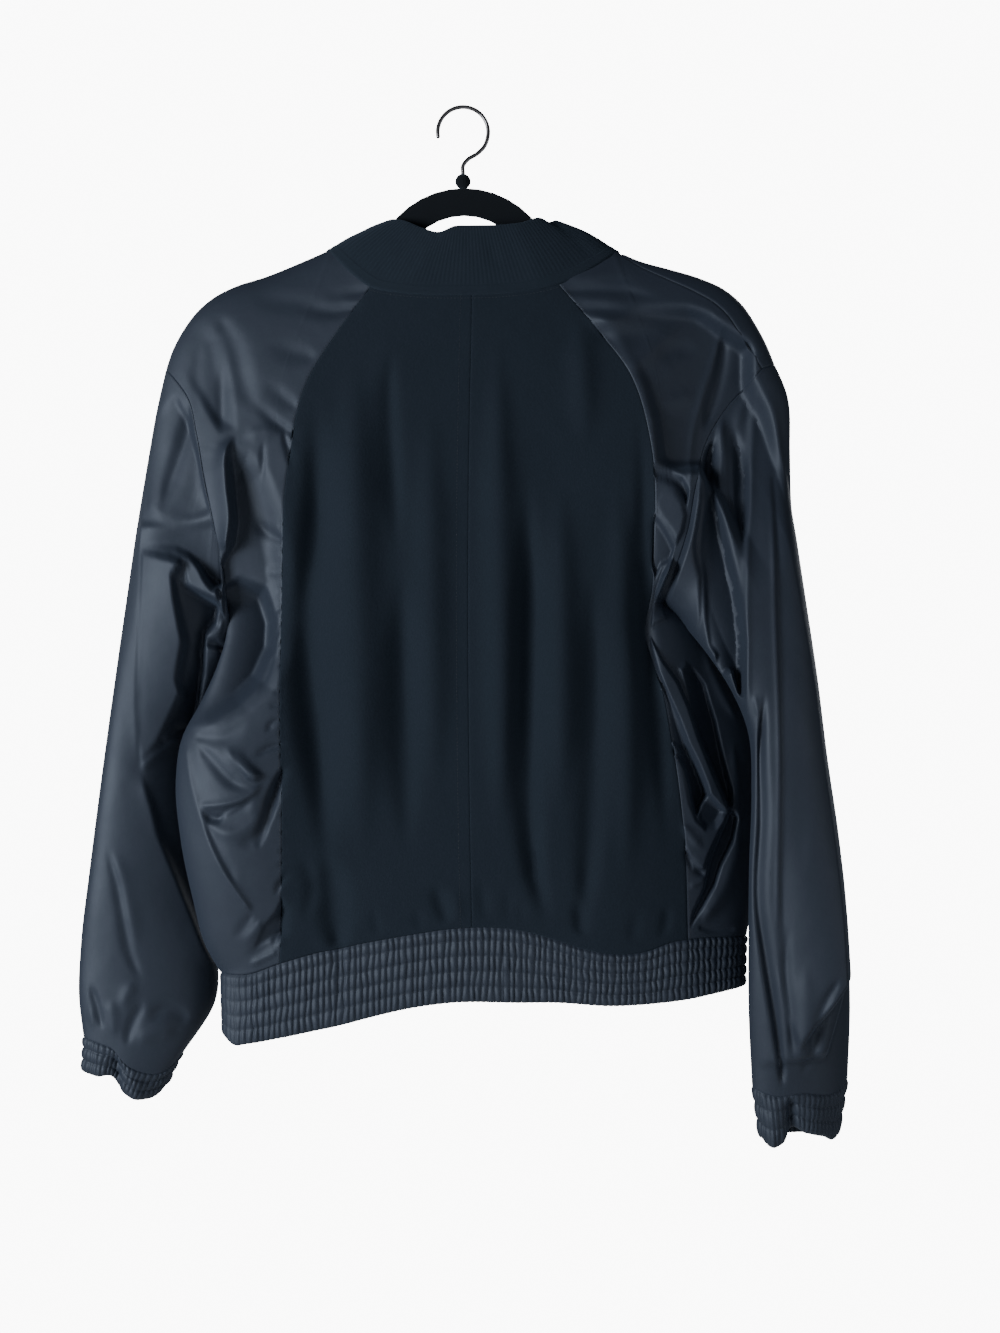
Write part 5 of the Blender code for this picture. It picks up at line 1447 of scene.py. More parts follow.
@dataclass
class Cuff:
    """A shirred cuff, gathered over three rows of elastic."""

    sleeve: Sleeve
    shirring: Shirring
    columns: int = 306
    wall: float = 1.5
    tucked: float = 1.8
    rows: int = 10
    sunk: float = 1.2
    fuller: float = 1.25

    # x and z of the free edge on the back's half, and creases of the whole cuff
    EDGE = {L: numbers("""-321 -808 -306 -811 -292 -813.5 -288 -820 -279.5 -828 -267 -831.5 -255 -827
                       -249 -818"""),
            R: numbers("""244 -853 249 -861 262 -863.5 267 -859 270 -852.5 285 -854 300 -858 312 -861.5
                       316 -857""")}
    FOLDS = {L: """-289 -790 -288 -826 | 3.2 6.5 -5.5 1.6 .02 .02; -276 -800 -274 -836 | 9 8 3.5 2 .02 .02;
                   -306 -780 -305 -816 | 8 8 1.5 2 .02 .02""",
             R: """270 -816 272 -866 | 4 4 -7 1.8 .02 .02; 256 -816 256 -866 | 7 7 3 2 .02 .02;
                   291 -816 292 -866 | 10 10 2.5 2 .02 .02"""}

    def build(self, satin: Material) -> tuple[Piece, list[Line]]:
        """Makes the cuff.

        Args:
            satin: The cloth's material.

        Returns:
            The piece and its stitch rows.
        """
        side, turn = self.sleeve.side, self.sleeve.turn
        x, y, z = tube(CUFF_BOTTOM[side], turn)
        z = np.where(turn < math.pi, keyed(self.EDGE[side]).at(x)[:, 0], z)
        both = np.hstack((self.sleeve.rings[-1], np.stack((x, y, z), axis=-1), self.sleeve.outward[-1]))
        top, bottom, out = np.split(resampled(both, self.columns, True), 3, axis=1)
        out = unit(out)
        top = top - self.tucked * unit(bottom - top)
        down = np.linspace(0, 1, self.rows * self.shirring.channels + 1)[:, None]
        along = np.linspace(0, 1, self.columns, endpoint=False)
        base = between(top, bottom, down[..., None])
        lift = between(-self.sunk, self.shirring.lift(along, down), ease(down / 0.1))
        crease = total_height(folds_of(rows_of(self.FOLDS[side])), base[..., 0], base[..., 2])
        crease = crease * (out[:, 1] < 0) * np.minimum(1, 1.4 * np.abs(out[:, 1])) * ease(down / 0.45)
        creased = base - crease[..., None] * np.array((0, 1, 0))
        out = unit(out * (1, 1, 0.2))
        outer = creased + lift[..., None] * out
        name = f"cuff_{side.value}"
        made = banded(f"{name}_cloth", outer, creased[[1, 10, 20, -1]], out, self.wall,
                      unit(bottom - top), True)
        rows = [self.rows * k for k in range(1, self.shirring.channels)] + [len(base) - 3]
        lines = [Line(np.vstack((outer[k], outer[k][:1])), np.vstack((out, out[:1]))) for k in rows]
        return Piece(made, "satin", satin, (name,), base, (f"sleeve_{side.value}",), True, "gathered",
                     self.fuller), lines


def banded(name: str, outer: Array, base: Array, out: Array, wall: float, down: Array,
           closed: bool) -> Object:
    """A shirred band with a rounded free edge.

    Args:
        name: Its name.
        outer: The rows of its outer side.
        base: The rows under which its inner side lies.
        out: Outward directions along it.
        wall: Its thickness.
        down: Directions towards its free edge.
        closed: Whether it runs round.

    Returns:
        The object.
    """
    rounded = outer[-1] - 0.9 * out + 0.5 * down
    return Band(name, np.concatenate((outer, rounded[None])), base - wall * out, closed).build()


@dataclass
class HemBand:
    """The shirred hem band, gathered over five rows of elastic and open at the zip."""

    body: Body
    shirring: Shirring
    columns: int = 1380
    wall: float = 1.6
    tucked: float = 1.4
    rows: int = 7
    sunk: float = 2.1
    drawn_in: float = 0.992
    fuller: float = 1.25
    smoothing: int = 25

    def build(self, satin: Material) -> tuple[Piece, list[Line]]:
        """Makes the band.

        Args:
            satin: The cloth's material.

        Returns:
            The piece and its stitch rows.
        """
        loop, _ = self.body.seam_round(-1)
        loop[:, 3:6] = self._softened(loop[:, 3:6])
        loop = resampled(loop, self.columns)
        top, out, behind = loop[:, :3], unit(loop[:, 3:6]), (1 - np.clip(loop[:, 6], -1, 1)) / 2
        x = top[:, 0] * self.drawn_in
        z = between(*(keyed(HEM_BOTTOM[face]).at(x)[:, 0] for face in (FRONT, BACK)), behind)
        y = between(*(self.body.form.y(x, z, face, creased=False) for face in (FRONT, BACK)), behind)
        bottom = np.stack((x, between(top[:, 1], y, 0.65), z), axis=-1)
        top = top - self.tucked * unit(bottom - top)
        for row in (top, bottom):
            row[0] += SEAM_GAP / 2 * unit(row[1] - row[0])
            row[-1] += SEAM_GAP / 2 * unit(row[-2] - row[-1])
        down = np.linspace(0, 1, self.rows * self.shirring.channels + 1)[:, None]
        along = np.linspace(0, 1, self.columns)
        base = between(top, bottom, down[..., None])
        lift = self.shirring.lift(along + 0.002 * down * (along < 0.5), down)
        calm = ease((top[:, 0] - top[:, 0].min() - 4) / 26)
        lift = between(-self.sunk, 0.5 + (lift - 0.5) * between(0.2, 1, calm), ease(down / 0.075))
        outer = base + lift[..., None] * out
        made = banded("hem_band_cloth", outer, base[[1, 7, 14, 21, 28, -1]], out, self.wall,
                      unit(bottom - top), False)
        lines = [Line(outer[self.rows * k], out) for k in range(1, self.shirring.channels)]
        return Piece(made, "satin", satin, ("hem_band",), base, ("back_centre_left",), False, "gathered",
                     self.fuller), lines

    def _softened(self, rows: Array) -> Array:
        """Directions smoothed along the band, so that corners turn gently."""
        kernel = np.hanning(self.smoothing) / np.hanning(self.smoothing).sum()
        padded = np.pad(rows, ((self.smoothing // 2,) * 2, (0, 0)), "edge")
        return np.stack([np.convolve(column, kernel, "valid") for column in padded.T], axis=-1)


@dataclass
class Collar:
    """The rib-knit stand collar, folded double at its top edge."""

    body: Body
    ribs: int = 150
    rib_columns: int = 7
    rib_height: float = 0.24
    roll: float = 2.2
    wall: float = 2.2
    binding: float = 0.135
    tucked: float = 4.8
    hills: tuple[tuple[float, float], ...] = ((30.0, 0.9), (12.0, 0.35))

    def build(self, rib: Material) -> Piece:
        """Makes the collar.

        Args:
            rib: The knit's material.

        Returns:
            The piece.
        """
        neck, marks = self.body.seam_round(0)
        corners = np.array(marks)[[0, 1, 3, 5, 6]] / marks[-1]
        columns = self.rib_columns * self.ribs + 1
        neck = resampled(neck, columns)
        shares = np.linspace(0, 1, columns)
        bottom, out = neck[:, :3], unit(neck[:, 3:6])
        top = np.empty_like(bottom)
        for rows, start, end in zip(COLLAR_TOP, corners[:-1], corners[1:]):
            beyond = shares >= start - 1e-9
            top[beyond] = SmoothLine(rows).at((shares[beyond] - start) / (end - start))
        bottom = bottom - self.tucked * unit(top - bottom)
        rising = unit(top - bottom)
        top_out = unit(np.cross(unit(np.gradient(top, axis=0)), rising))
        top_out = -top_out if (top_out * out).sum() < 0 else top_out
        up = np.concatenate((np.linspace(0, self.binding - 0.02, 4),
                             self.binding + np.linspace(-0.01, 0.02, 4),
                             np.linspace(self.binding + 0.04, 1, 19)))[:, None]
        facing = unit(between(out, top_out, up[..., None]))
        bulge = np.sin(math.pi * up)
        body = between(bottom, top, up[..., None]) + (self.roll * bulge ** 0.8)[..., None] * top_out
        wave = np.cos(2 * math.pi * self.ribs * shares)
        rib_lift = self.rib_height / 2 * wave * ease((up - self.binding) / 0.06) * ease((1.04 - up) / 0.06)
        soft = Unevenness(61, self.hills).at(shares * marks[-1] + 0 * up, up * 50 + 0 * shares)
        binding = 0.5 * (up < self.binding + 0.001) - 0.25
        outer = body + (rib_lift + binding + soft * bulge)[..., None] * facing
        outer[:2] += np.array((0.2, 0.5))[:, None, None] * facing[:2]
        rounded = [outer[-1] + self.wall / 2 * (math.sin(angle) * rising - (1 - math.cos(angle)) * top_out)
                   for angle in (0.8, 1.57, 2.35)]
        inner = (body - self.wall * facing)[[1, 6, 12, 18, -1]]
        made = Band("collar_knit", np.concatenate((outer, rounded)), inner, False).build()
        return Piece(made, "rib", rib, ("collar",), body, ("back_centre_left", "back_centre_right"), False,
                     "gathered")


# --- Shader trees ---

class Value:
    """A number that varies over a surface: a socket whose operators add Math nodes."""

    def __init__(self, tree: Tree, socket: NodeSocket) -> None:
        """Wraps a socket of a tree."""
        self.tree, self.socket = tree, socket

    def _math(self, operation: str, *others: Any) -> Value:
        """The result of a Math node on this value and others."""
        return self.tree.value("ShaderNodeMath", {"operation": operation}, dict(enumerate((self, *others))))

    def __rsub__(self, other: Any) -> Value:
        """The difference from a number."""
        return self.tree.value("ShaderNodeMath", {"operation": "SUBTRACT"}, {0: other, 1: self})

    __add__ = __radd__ = partialmethod(_math, "ADD")
    __mul__ = __rmul__ = partialmethod(_math, "MULTIPLY")
    __pow__ = partialmethod(_math, "POWER")
    sine, size = partialmethod(_math, "SINE"), partialmethod(_math, "ABSOLUTE")


class Tree:
    """A node tree under construction."""

    def __init__(self, tree: NodeTree) -> None:
        """Wraps a tree."""
        self.tree = tree

    def node(self, kind: str, settings: dict[str, Any] | None = None, values: dict[Any, Any] | None = None,
             output: Any = 0) -> NodeSocket | None:
        """A node of any kind.

        Args:
            kind: Its type.
            settings: Its own settings, set before its sockets.
            values: What each input holds or is linked to, by name or number.
            output: The name or number of an output.

        Returns:
            That output, or None where the node has none.
        """
        made = self.tree.nodes.new(kind)
        for name, setting in (settings or {}).items():
            setattr(made, name, setting)
        for name, value in (values or {}).items():
            source = value.socket if isinstance(value, Value) else value
            if isinstance(source, NodeSocket):
                self.tree.links.new(source, made.inputs[name])
            else:
                made.inputs[name].default_value = source
        return made.outputs[output] if made.outputs else None

    def value(self, kind: str, settings: dict[str, Any], values: dict[Any, Any]) -> Value:
        """A node's first output as a value."""
        return Value(self, self.node(kind, settings, values))

    def cloth(self) -> tuple[Value, Value]:
        """How far across and along the cloth a point lies, in metres."""
        place = self.node("ShaderNodeTexCoord", output="UV")
        return tuple(Value(self, self.node("ShaderNodeSeparateXYZ", {}, {0: place}, axis)) for axis in "XY")

    def noise(self, scale: float, detail: float = 2.0, roughness: float = 0.5, places: Any = None) -> Value:
        """Noise from 0 to 1, its scale in hills a metre."""
        places = places or self.node("ShaderNodeTexCoord", output="Object")
        return self.value("ShaderNodeTexNoise", {}, {
            "Vector": places, "Scale": scale, "Detail": detail, "Roughness": roughness})

    def stretched(self, across: float, along: float) -> NodeSocket:
        """Places on the cloth stretched by a Mapping node."""
        return self.node("ShaderNodeMapping", {}, {
            "Vector": self.node("ShaderNodeTexCoord", output="UV"), "Scale": (across, along, along)})

    def bump(self, height: Value, distance: float, strength: float = 1.0, **below: Any) -> NodeSocket:
        """Relief from a height, which is 1 at the distance in metres, over what lies below as Normal."""
        return self.node("ShaderNodeBump", {}, {
            "Height": height, "Distance": distance, "Strength": strength, **below})


Colour = tuple[float, float, float]
Look = tuple[Value, Value, NodeSocket | None]


@dataclass(frozen=True)
class Finish:
    """A finish with one Principled shader: two shades and what the shader's own sockets hold."""

    name: str
    dark: Colour
    light: Colour
    metallic: float = 0.0
    specular: float = 0.5
    specular_tint: Colour = (1, 1, 1)
    sheen: float = 0.0
    sheen_roughness: float = 0.5
    sheen_tint: Colour = (1, 1, 1)

    def surface(self, tree: Tree) -> Look:
        """What varies: the share of the light shade, the roughness and, unless it is flat, the relief."""
        raise NotImplementedError

    def material(self) -> Material:
        """Makes the finish's material.

        Returns:
            The material.
        """
        material = bpy.data.materials.new(self.name)
        material.use_nodes = True
        inputs = material.node_tree.nodes["Principled BSDF"].inputs
        for socket, held in (("Metallic", self.metallic), ("Specular IOR Level", self.specular),
                             ("Specular Tint", (*self.specular_tint, 1)), ("Sheen Weight", self.sheen),
                             ("Sheen Roughness", self.sheen_roughness),
                             ("Sheen Tint", (*self.sheen_tint, 1))):
            inputs[socket].default_value = held
        tree = Tree(material.node_tree)
        share, roughness, relief = self.surface(tree)
        shade = tree.node("ShaderNodeMix", {"data_type": "RGBA"},
                          {0: share, 6: (*self.dark, 1), 7: (*self.light, 1)}, 2)
        for socket, varied in (("Base Color", shade), ("Roughness", roughness.socket), ("Normal", relief)):
            if varied is not None:
                material.node_tree.links.new(varied, inputs[socket])
        return material


@dataclass(frozen=True)
class SatinFinish(Finish):
    """Smooth filament satin: a soft long highlight, a faint float weave and fine crumples."""

    name: str = "satin"
    dark: Colour = (0.0115, 0.0165, 0.0285)
    light: Colour = (0.018, 0.025, 0.041)
    specular: float = 0.6
    specular_tint: Colour = (0.74, 0.85, 1)
    sheen: float = 0.08
    sheen_roughness: float = 0.4
    sheen_tint: Colour = (0.45, 0.65, 1)
    turns: float = 2 * math.pi / 0.0005

    def surface(self, tree: Tree) -> Look:
        """What varies over the satin.

        Args:
            tree: The material's tree.

        Returns:
            The share, the roughness and the relief.
        """
        across, along = tree.cloth()
        slub = tree.noise(1.0, 2, 0.6, tree.stretched(2200, 90))
        warp = (across * self.turns).sine() * 0.5 + 0.5
        weft = (along * (2 * self.turns) + across * (self.turns / 2)).sine() * 0.5 + 0.5
        crumple = tree.bump(tree.noise(70, 3, 0.5), 0.0007, 0.35)
        return (tree.noise(14, 3) * 0.55 + tree.noise(420, 2, 0.6) * 0.3 + slub * 0.15,
                0.54 + tree.noise(30, 2) * 0.1 + slub * 0.05,
                tree.bump((warp * 0.6 + weft * 0.4) * 0.5 + slub * 0.5, 0.00006, 0.5, Normal=crumple))


@dataclass(frozen=True)
class CrepeFinish(Finish):
    """Matte crepe: a pebbled face of tightly twisted yarns."""

    name: str = "crepe"
    dark: Colour = (0.0062, 0.0092, 0.0145)
    light: Colour = (0.0125, 0.0175, 0.0265)
    specular: float = 0.2
    specular_tint: Colour = (0.6, 0.8, 1)
    sheen: float = 0.08
    sheen_roughness: float = 0.6
    sheen_tint: Colour = (0.5, 0.7, 1)
    pebble: float = 0.0013

    def surface(self, tree: Tree) -> Look:
        """What varies over the crepe.

        Args:
            tree: The material's tree.

        Returns:
            The share, the roughness and the relief.
        """
        pebbles = tree.value("ShaderNodeTexVoronoi", {"feature": "SMOOTH_F1"}, {
            "Vector": tree.stretched(1, 0.6), "Scale": 1 / self.pebble, "Smoothness": 0.6})
        grain = tree.noise(1500, 2, 0.7)
        crumple = tree.bump(tree.noise(70, 3), 0.0007, 0.5)
        return (grain * 0.5 + pebbles * 0.3 + tree.noise(9, 3) * 0.35, 0.78 + grain * 0.14,
                tree.bump(1 - pebbles * 0.8 + grain * 0.5, 0.00025, 0.7, Normal=crumple))


@dataclass(frozen=True)
class RibFinish(CrepeFinish):
    """Rib knit, matte as the crepe: rows of small stitches up each rib."""

    name: str = "rib_knit"
    dark: Colour = (0.0075, 0.0112, 0.0175)
    light: Colour = (0.0145, 0.0205, 0.03)
    sheen: float = 0.1
    turns: float = 2 * math.pi / 0.0011

    def surface(self, tree: Tree) -> Look:
        """What varies over the knit.

        Args:
            tree: The material's tree.

        Returns:
            The share, the roughness and the relief.
        """
        across, along = tree.cloth()
        wale = (across * self.turns).sine()
        loop = (along * self.turns + wale.size() * 2.0).sine()
        fuzz = tree.noise(1900, 2, 0.7)
        relief = wale * 0.25 + loop * 0.25 + 0.5 + fuzz * 0.3
        return relief * 0.6 + tree.noise(25) * 0.3, 0.8 + fuzz * 0.12, tree.bump(relief, 0.0002, 0.6)


@dataclass(frozen=True)
class TapeFinish(Finish):
    """Woven zip tape."""

    name: str = "zip_tape"
    dark: Colour = (0.009, 0.010, 0.012)
    light: Colour = (0.0171, 0.019, 0.0228)
    specular: float = 0.3
    turns: float = 2 * math.pi / 0.0007

    def surface(self, tree: Tree) -> Look:
        """What varies over the tape."""
        across, along = tree.cloth()
        twill = ((across + along * 0.6) * self.turns).sine() * 0.5 + 0.5
        return (twill * 0.5 + tree.noise(300) * 0.4, 0.72 + tree.noise(500) * 0.15,
                tree.bump(twill, 0.00012, 0.6))


@dataclass(frozen=True)
class ThreadFinish(Finish):
    """Polyester sewing thread."""

    name: str = "thread"
    dark: Colour = (0.008, 0.012, 0.02)
    light: Colour = (0.018, 0.026, 0.04)
    sheen: float = 0.1

    def surface(self, tree: Tree) -> Look:
        """What varies over the thread."""
        twist = tree.noise(2600, 1)
        return twist, 0.42 + twist * 0.15, tree.bump(twist, 0.00006, 0.6)


@dataclass(frozen=True)
class MetalFinish(Finish):
    """Blackened metal of the zip or the hook, a little worn."""

    dark: Colour = (0.09, 0.092, 0.1)
    light: Colour = (0.3, 0.3, 0.32)
    metallic: float = 1.0
    roughness: float = 0.3

    def surface(self, tree: Tree) -> Look:
        """What varies over the metal."""
        wear, fine = tree.noise(260, 4, 0.6), tree.noise(1400, 2)
        return (wear ** 1.6, self.roughness - 0.07 + wear * 0.16 + fine * 0.06,
                tree.bump(fine * 0.6 + wear * 0.4, 0.00006, 0.4))


@dataclass(frozen=True)
class VelvetFinish(Finish):
    """Flocked velvet over the hanger's core."""

    name: str = "velvet"
    dark: Colour = (0.003, 0.0042, 0.006)
    light: Colour = (0.0085, 0.0115, 0.016)
    specular: float = 0.15
    sheen: float = 0.2
    sheen_roughness: float = 0.45
    sheen_tint: Colour = (0.55, 0.7, 0.9)

    def surface(self, tree: Tree) -> Look:
        """What varies over the velvet."""
        flock, brushed = tree.noise(2400, 2, 0.7), tree.noise(40, 3)
        return flock * 0.6 + brushed * 0.4, 0.9 + brushed * 0.08, tree.bump(flock, 0.0002, 0.6)


@dataclass(frozen=True)
class FloorFinish(Finish):
    """A plain pale floor."""

    name: str = "floor"
    dark: Colour = (0.78, 0.78, 0.77)
    light: Colour = (0.8112, 0.8112, 0.8008)
    specular: float = 0.2

    def surface(self, tree: Tree) -> Look:
        """What varies over the floor."""
        return tree.noise(3, 2), 0.7 + tree.noise(20) * 0.1, None


# --- What repeats: stitches and zip teeth ---

class Repeated(Enum):
    """A small shape that is repeated: its node and that node's size."""

    STITCH = ("GeometryNodeMeshIcoSphere", {"Radius": 0.5})
    TOOTH = ("GeometryNodeMeshCube", {"Size": (1, 1, 1)})


class Repeater:
    """A Geometry Nodes tree that sets one small shape at even steps along lines on the cloth."""

    INPUTS = {"Step": "Float", "Size": "Vector", "Lift": "Float", "Seed": "Int"}

    def __init__(self, shape: Repeated, material: Material) -> None:
        """Builds the tree.

        Args:
            shape: What is repeated.
            material: What it is made of.
        """
        self.group = bpy.data.node_groups.new(f"{shape.name.lower()}_along_lines", "GeometryNodeTree")
        face = self.group.interface
        face.new_socket("Geometry", in_out="INPUT", socket_type="NodeSocketGeometry")
        self.inputs = {name: face.new_socket(name, in_out="INPUT", socket_type=f"NodeSocket{kind}").identifier
                       for name, kind in self.INPUTS.items()}
        face.new_socket("Geometry", in_out="OUTPUT", socket_type="NodeSocketGeometry")
        node = Tree(self.group).node
        lines, step, size, lift, seed = (node("NodeGroupInput", output=name)
                                         for name in ("Geometry", *self.INPUTS))
        curve = node("GeometryNodeMeshToCurve", {}, {"Mesh": lines})
        even = node("GeometryNodeResampleCurve", {"mode": "LENGTH"}, {"Curve": curve, "Length": step})
        outward = node("GeometryNodeInputNamedAttribute", {"data_type": "FLOAT_VECTOR"}, {"Name": "outward"},
                       "Attribute")
        raised = node("ShaderNodeVectorMath", {"operation": "SCALE"}, {0: outward, "Scale": lift})
        points = node("GeometryNodeSetPosition", {}, {"Geometry": even, "Offset": raised})
        along = node("FunctionNodeAlignRotationToVector", {"axis": "X"},
                     {"Vector": node("GeometryNodeInputTangent")})
        turned = node("FunctionNodeAlignRotationToVector", {"axis": "Z", "pivot_axis": "X"},
                      {"Rotation": along, "Vector": outward})
        uneven = node("FunctionNodeRandomValue", {"data_type": "FLOAT"},
                      {"Min": 0.86, "Max": 1.1, "Seed": seed}, 1)
        scaled = node("ShaderNodeVectorMath", {"operation": "SCALE"}, {0: size, "Scale": uneven})
        kind, own_size = shape.value
        smooth = node("GeometryNodeSetShadeSmooth", {}, {
            "Geometry": node(kind, {}, own_size), "Shade Smooth": shape is Repeated.STITCH})
        placed = node("GeometryNodeInstanceOnPoints", {}, {
            "Points": points, "Instance": smooth, "Rotation": turned, "Scale": scaled})
        real = node("GeometryNodeRealizeInstances", {}, {"Geometry": placed})
        dressed = node("GeometryNodeSetMaterial", {}, {"Geometry": real, "Material": material})
        node("NodeGroupOutput", {}, {"Geometry": dressed})

    def along(self, name: str, lines: list[Line], step: float, size: tuple[float, float, float], lift: float,
              seed: int) -> Object:
        """The shapes along lines as a plain mesh object.

        Args:
            name: The object's name.
            lines: The lines.
            step: From shape to shape, in millimetres as all sizes.
            size: Each shape's.
            lift: How far they stand off the cloth.
            seed: That of their unevenness.

        Returns:
            The object.
        """
        ends = np.cumsum([len(line.places) for line in lines])
        edges = [(k, k + 1) for k in range(ends[-1] - 1) if k + 1 not in set(ends)]
        guide = bpy.data.meshes.new(f"{name}_guide")
        guide.from_pydata((np.vstack([line.places for line in lines]) * MM).tolist(), edges, [])
        outward = np.vstack([unit(line.outward) for line in lines]).astype(np.float32)
        guide.attributes.new("outward", "FLOAT_VECTOR", "POINT").data.foreach_set("vector", outward.ravel())
        carrier = linked(f"{name}_guide", guide)
        change = carrier.modifiers.new("Repeat", "NODES")
        change.node_group = self.group
        for key, given in zip(self.INPUTS, (step * MM, tuple(part * MM for part in size), lift * MM, seed)):
            change[self.inputs[key]] = given
        whole = carrier.evaluated_get(bpy.context.evaluated_depsgraph_get())
        mesh = bpy.data.meshes.new_from_object(whole)
        mesh.name = name
        carrier.modifiers.remove(change)
        bpy.data.objects.remove(carrier)
        bpy.data.meshes.remove(guide)
        if "outward" in mesh.attributes:
            mesh.attributes.remove(mesh.attributes["outward"])
        return linked(name, mesh)


# --- Zip, hanger and studio ---

@dataclass
class Zip:
    """The front zip: woven tapes and a row of teeth on each edge."""

    form: BodyForm
    tooth_pitch: float = 2.2
    tooth: tuple[float, float, float] = (1.25, 2.7, 2.1)
    tooth_bevel: float = 0.25
    tooth_offset: float = 0.95
    tape_width: float = 15.0
    tape_columns: int = 9
    tape_wall: float = 0.9

    def _path(self, count: int) -> tuple[Array, Array]:
        """z down the zip and the fronts' y there."""
        top, bottom = (float(keyed(table[FRONT]).at(ZIP_X)[0]) for table in (NECK, HEM_BOTTOM))
        z = np.linspace(top - 1, bottom, count)
        return z, self.form.y(np.full(count, float(ZIP_X)), z, FRONT, creased=False)

    def build(self, tape: Material, metal: Material) -> list[Piece]:
        """Tapes and teeth.

        Args:
            tape: The tape's material.
            metal: The teeth's material.

        Returns:
            The pieces.
        """
        pieces, lines = [], []
        bead = 0.35 * np.exp(-np.linspace(0, 6, self.tape_columns))
        for number, (side, sign) in enumerate(((L, -1), (R, 1))):
            z, surface = (values[:, None] for values in self._path(220))
            x = ZIP_X + sign * (0.05 + np.linspace(0, self.tape_width, self.tape_columns))
            points = np.stack(np.broadcast_arrays(x, surface - 3.0 + bead, z), axis=-1)
            name = f"zip_tape_{side.value}"
            forward = points * 0 + (0, 1, 0)
            made = Shell(f"{name}_cloth", points, forward, self.tape_wall, turned=False, stride=2).build()
            pieces.append(Piece(made, "tape", tape, (name,), points, (f"front_{side.value}",)))
            z, surface = self._path(240)
            places = np.stack((np.full(len(z), ZIP_X + sign * self.tooth_offset), surface - 1.25,
                               z - number * self.tooth_pitch / 2), axis=-1)[:-1]
            lines.append(Line(places, places * 0 + (0, 1, 0)))
        along = Repeater(Repeated.TOOTH, metal).along
        teeth = along("zip_teeth", lines, self.tooth_pitch, self.tooth, 0.0, 3)
        reworked(teeth.data, lambda bm: bmesh.ops.bevel(
            bm, geom=list(bm.edges), offset=self.tooth_bevel * MM, segments=1, affect="EDGES"))
        return [*pieces, Piece(teeth, "metal", metal, ("zip_chain",))]


@dataclass
class Hook:
    """The hanger's wire hook as a smooth swept wire with round ends."""

    wire: float = 3.4
    inner_radius: float = 19.5
    tip_angle: float = 190.0
    neck: tuple[tuple[float, ...], ...] = numbers("0 -54.2 0 -48 4 -42.5 12 -37.5 18.5 -30.5")
    sides: int = 20
    steps: int = 180

    def build(self, metal: Material) -> Piece:
        """Makes the hook.

        Args:
            metal: The wire's material.

        Returns:
            The piece.
        """
        half = self.wire / 2
        radius = self.inner_radius + half
        bend = np.radians(np.linspace(-12, self.tip_angle, 24))[:, None]
        crown = radius * np.hstack((np.cos(bend), np.sin(bend))) - (0, self.inner_radius)
        line = SmoothLine((*self.neck, *crown)).at(np.linspace(0, 1, self.steps))
        along = unit(np.gradient(line, axis=0))
        caps = [(half * math.sin(angle), half * math.cos(angle)) for angle in np.linspace(0.12, 1.4, 5)]
        stations = ([(line[0] - along[0] * high * 0.6, along[0], wide) for wide, high in caps]
                    + [(place, facing, half) for place, facing in zip(line, along)]
                    + [(line[-1] + along[-1] * high, along[-1], wide) for wide, high in caps[::-1]])
        angles = np.linspace(0, 2 * math.pi, self.sides, endpoint=False)[:, None]
        places = np.array([np.array((x, 0, z)) + wide * (np.cos(angles) * (-run_z, 0, run_x)
                                                         + np.sin(angles) * (0, 1, 0))
                           for (x, z), (run_x, run_z), wide in stations])
        ids = np.arange(places[..., 0].size).reshape(-1, self.sides)
        faces = quads(ids, True) + [ids[0].tolist(), ids[-1].tolist()]
        return Piece(mesh_object("hook_wire", places.reshape(-1, 3), faces), "wire", metal, ("hanger_hook",))


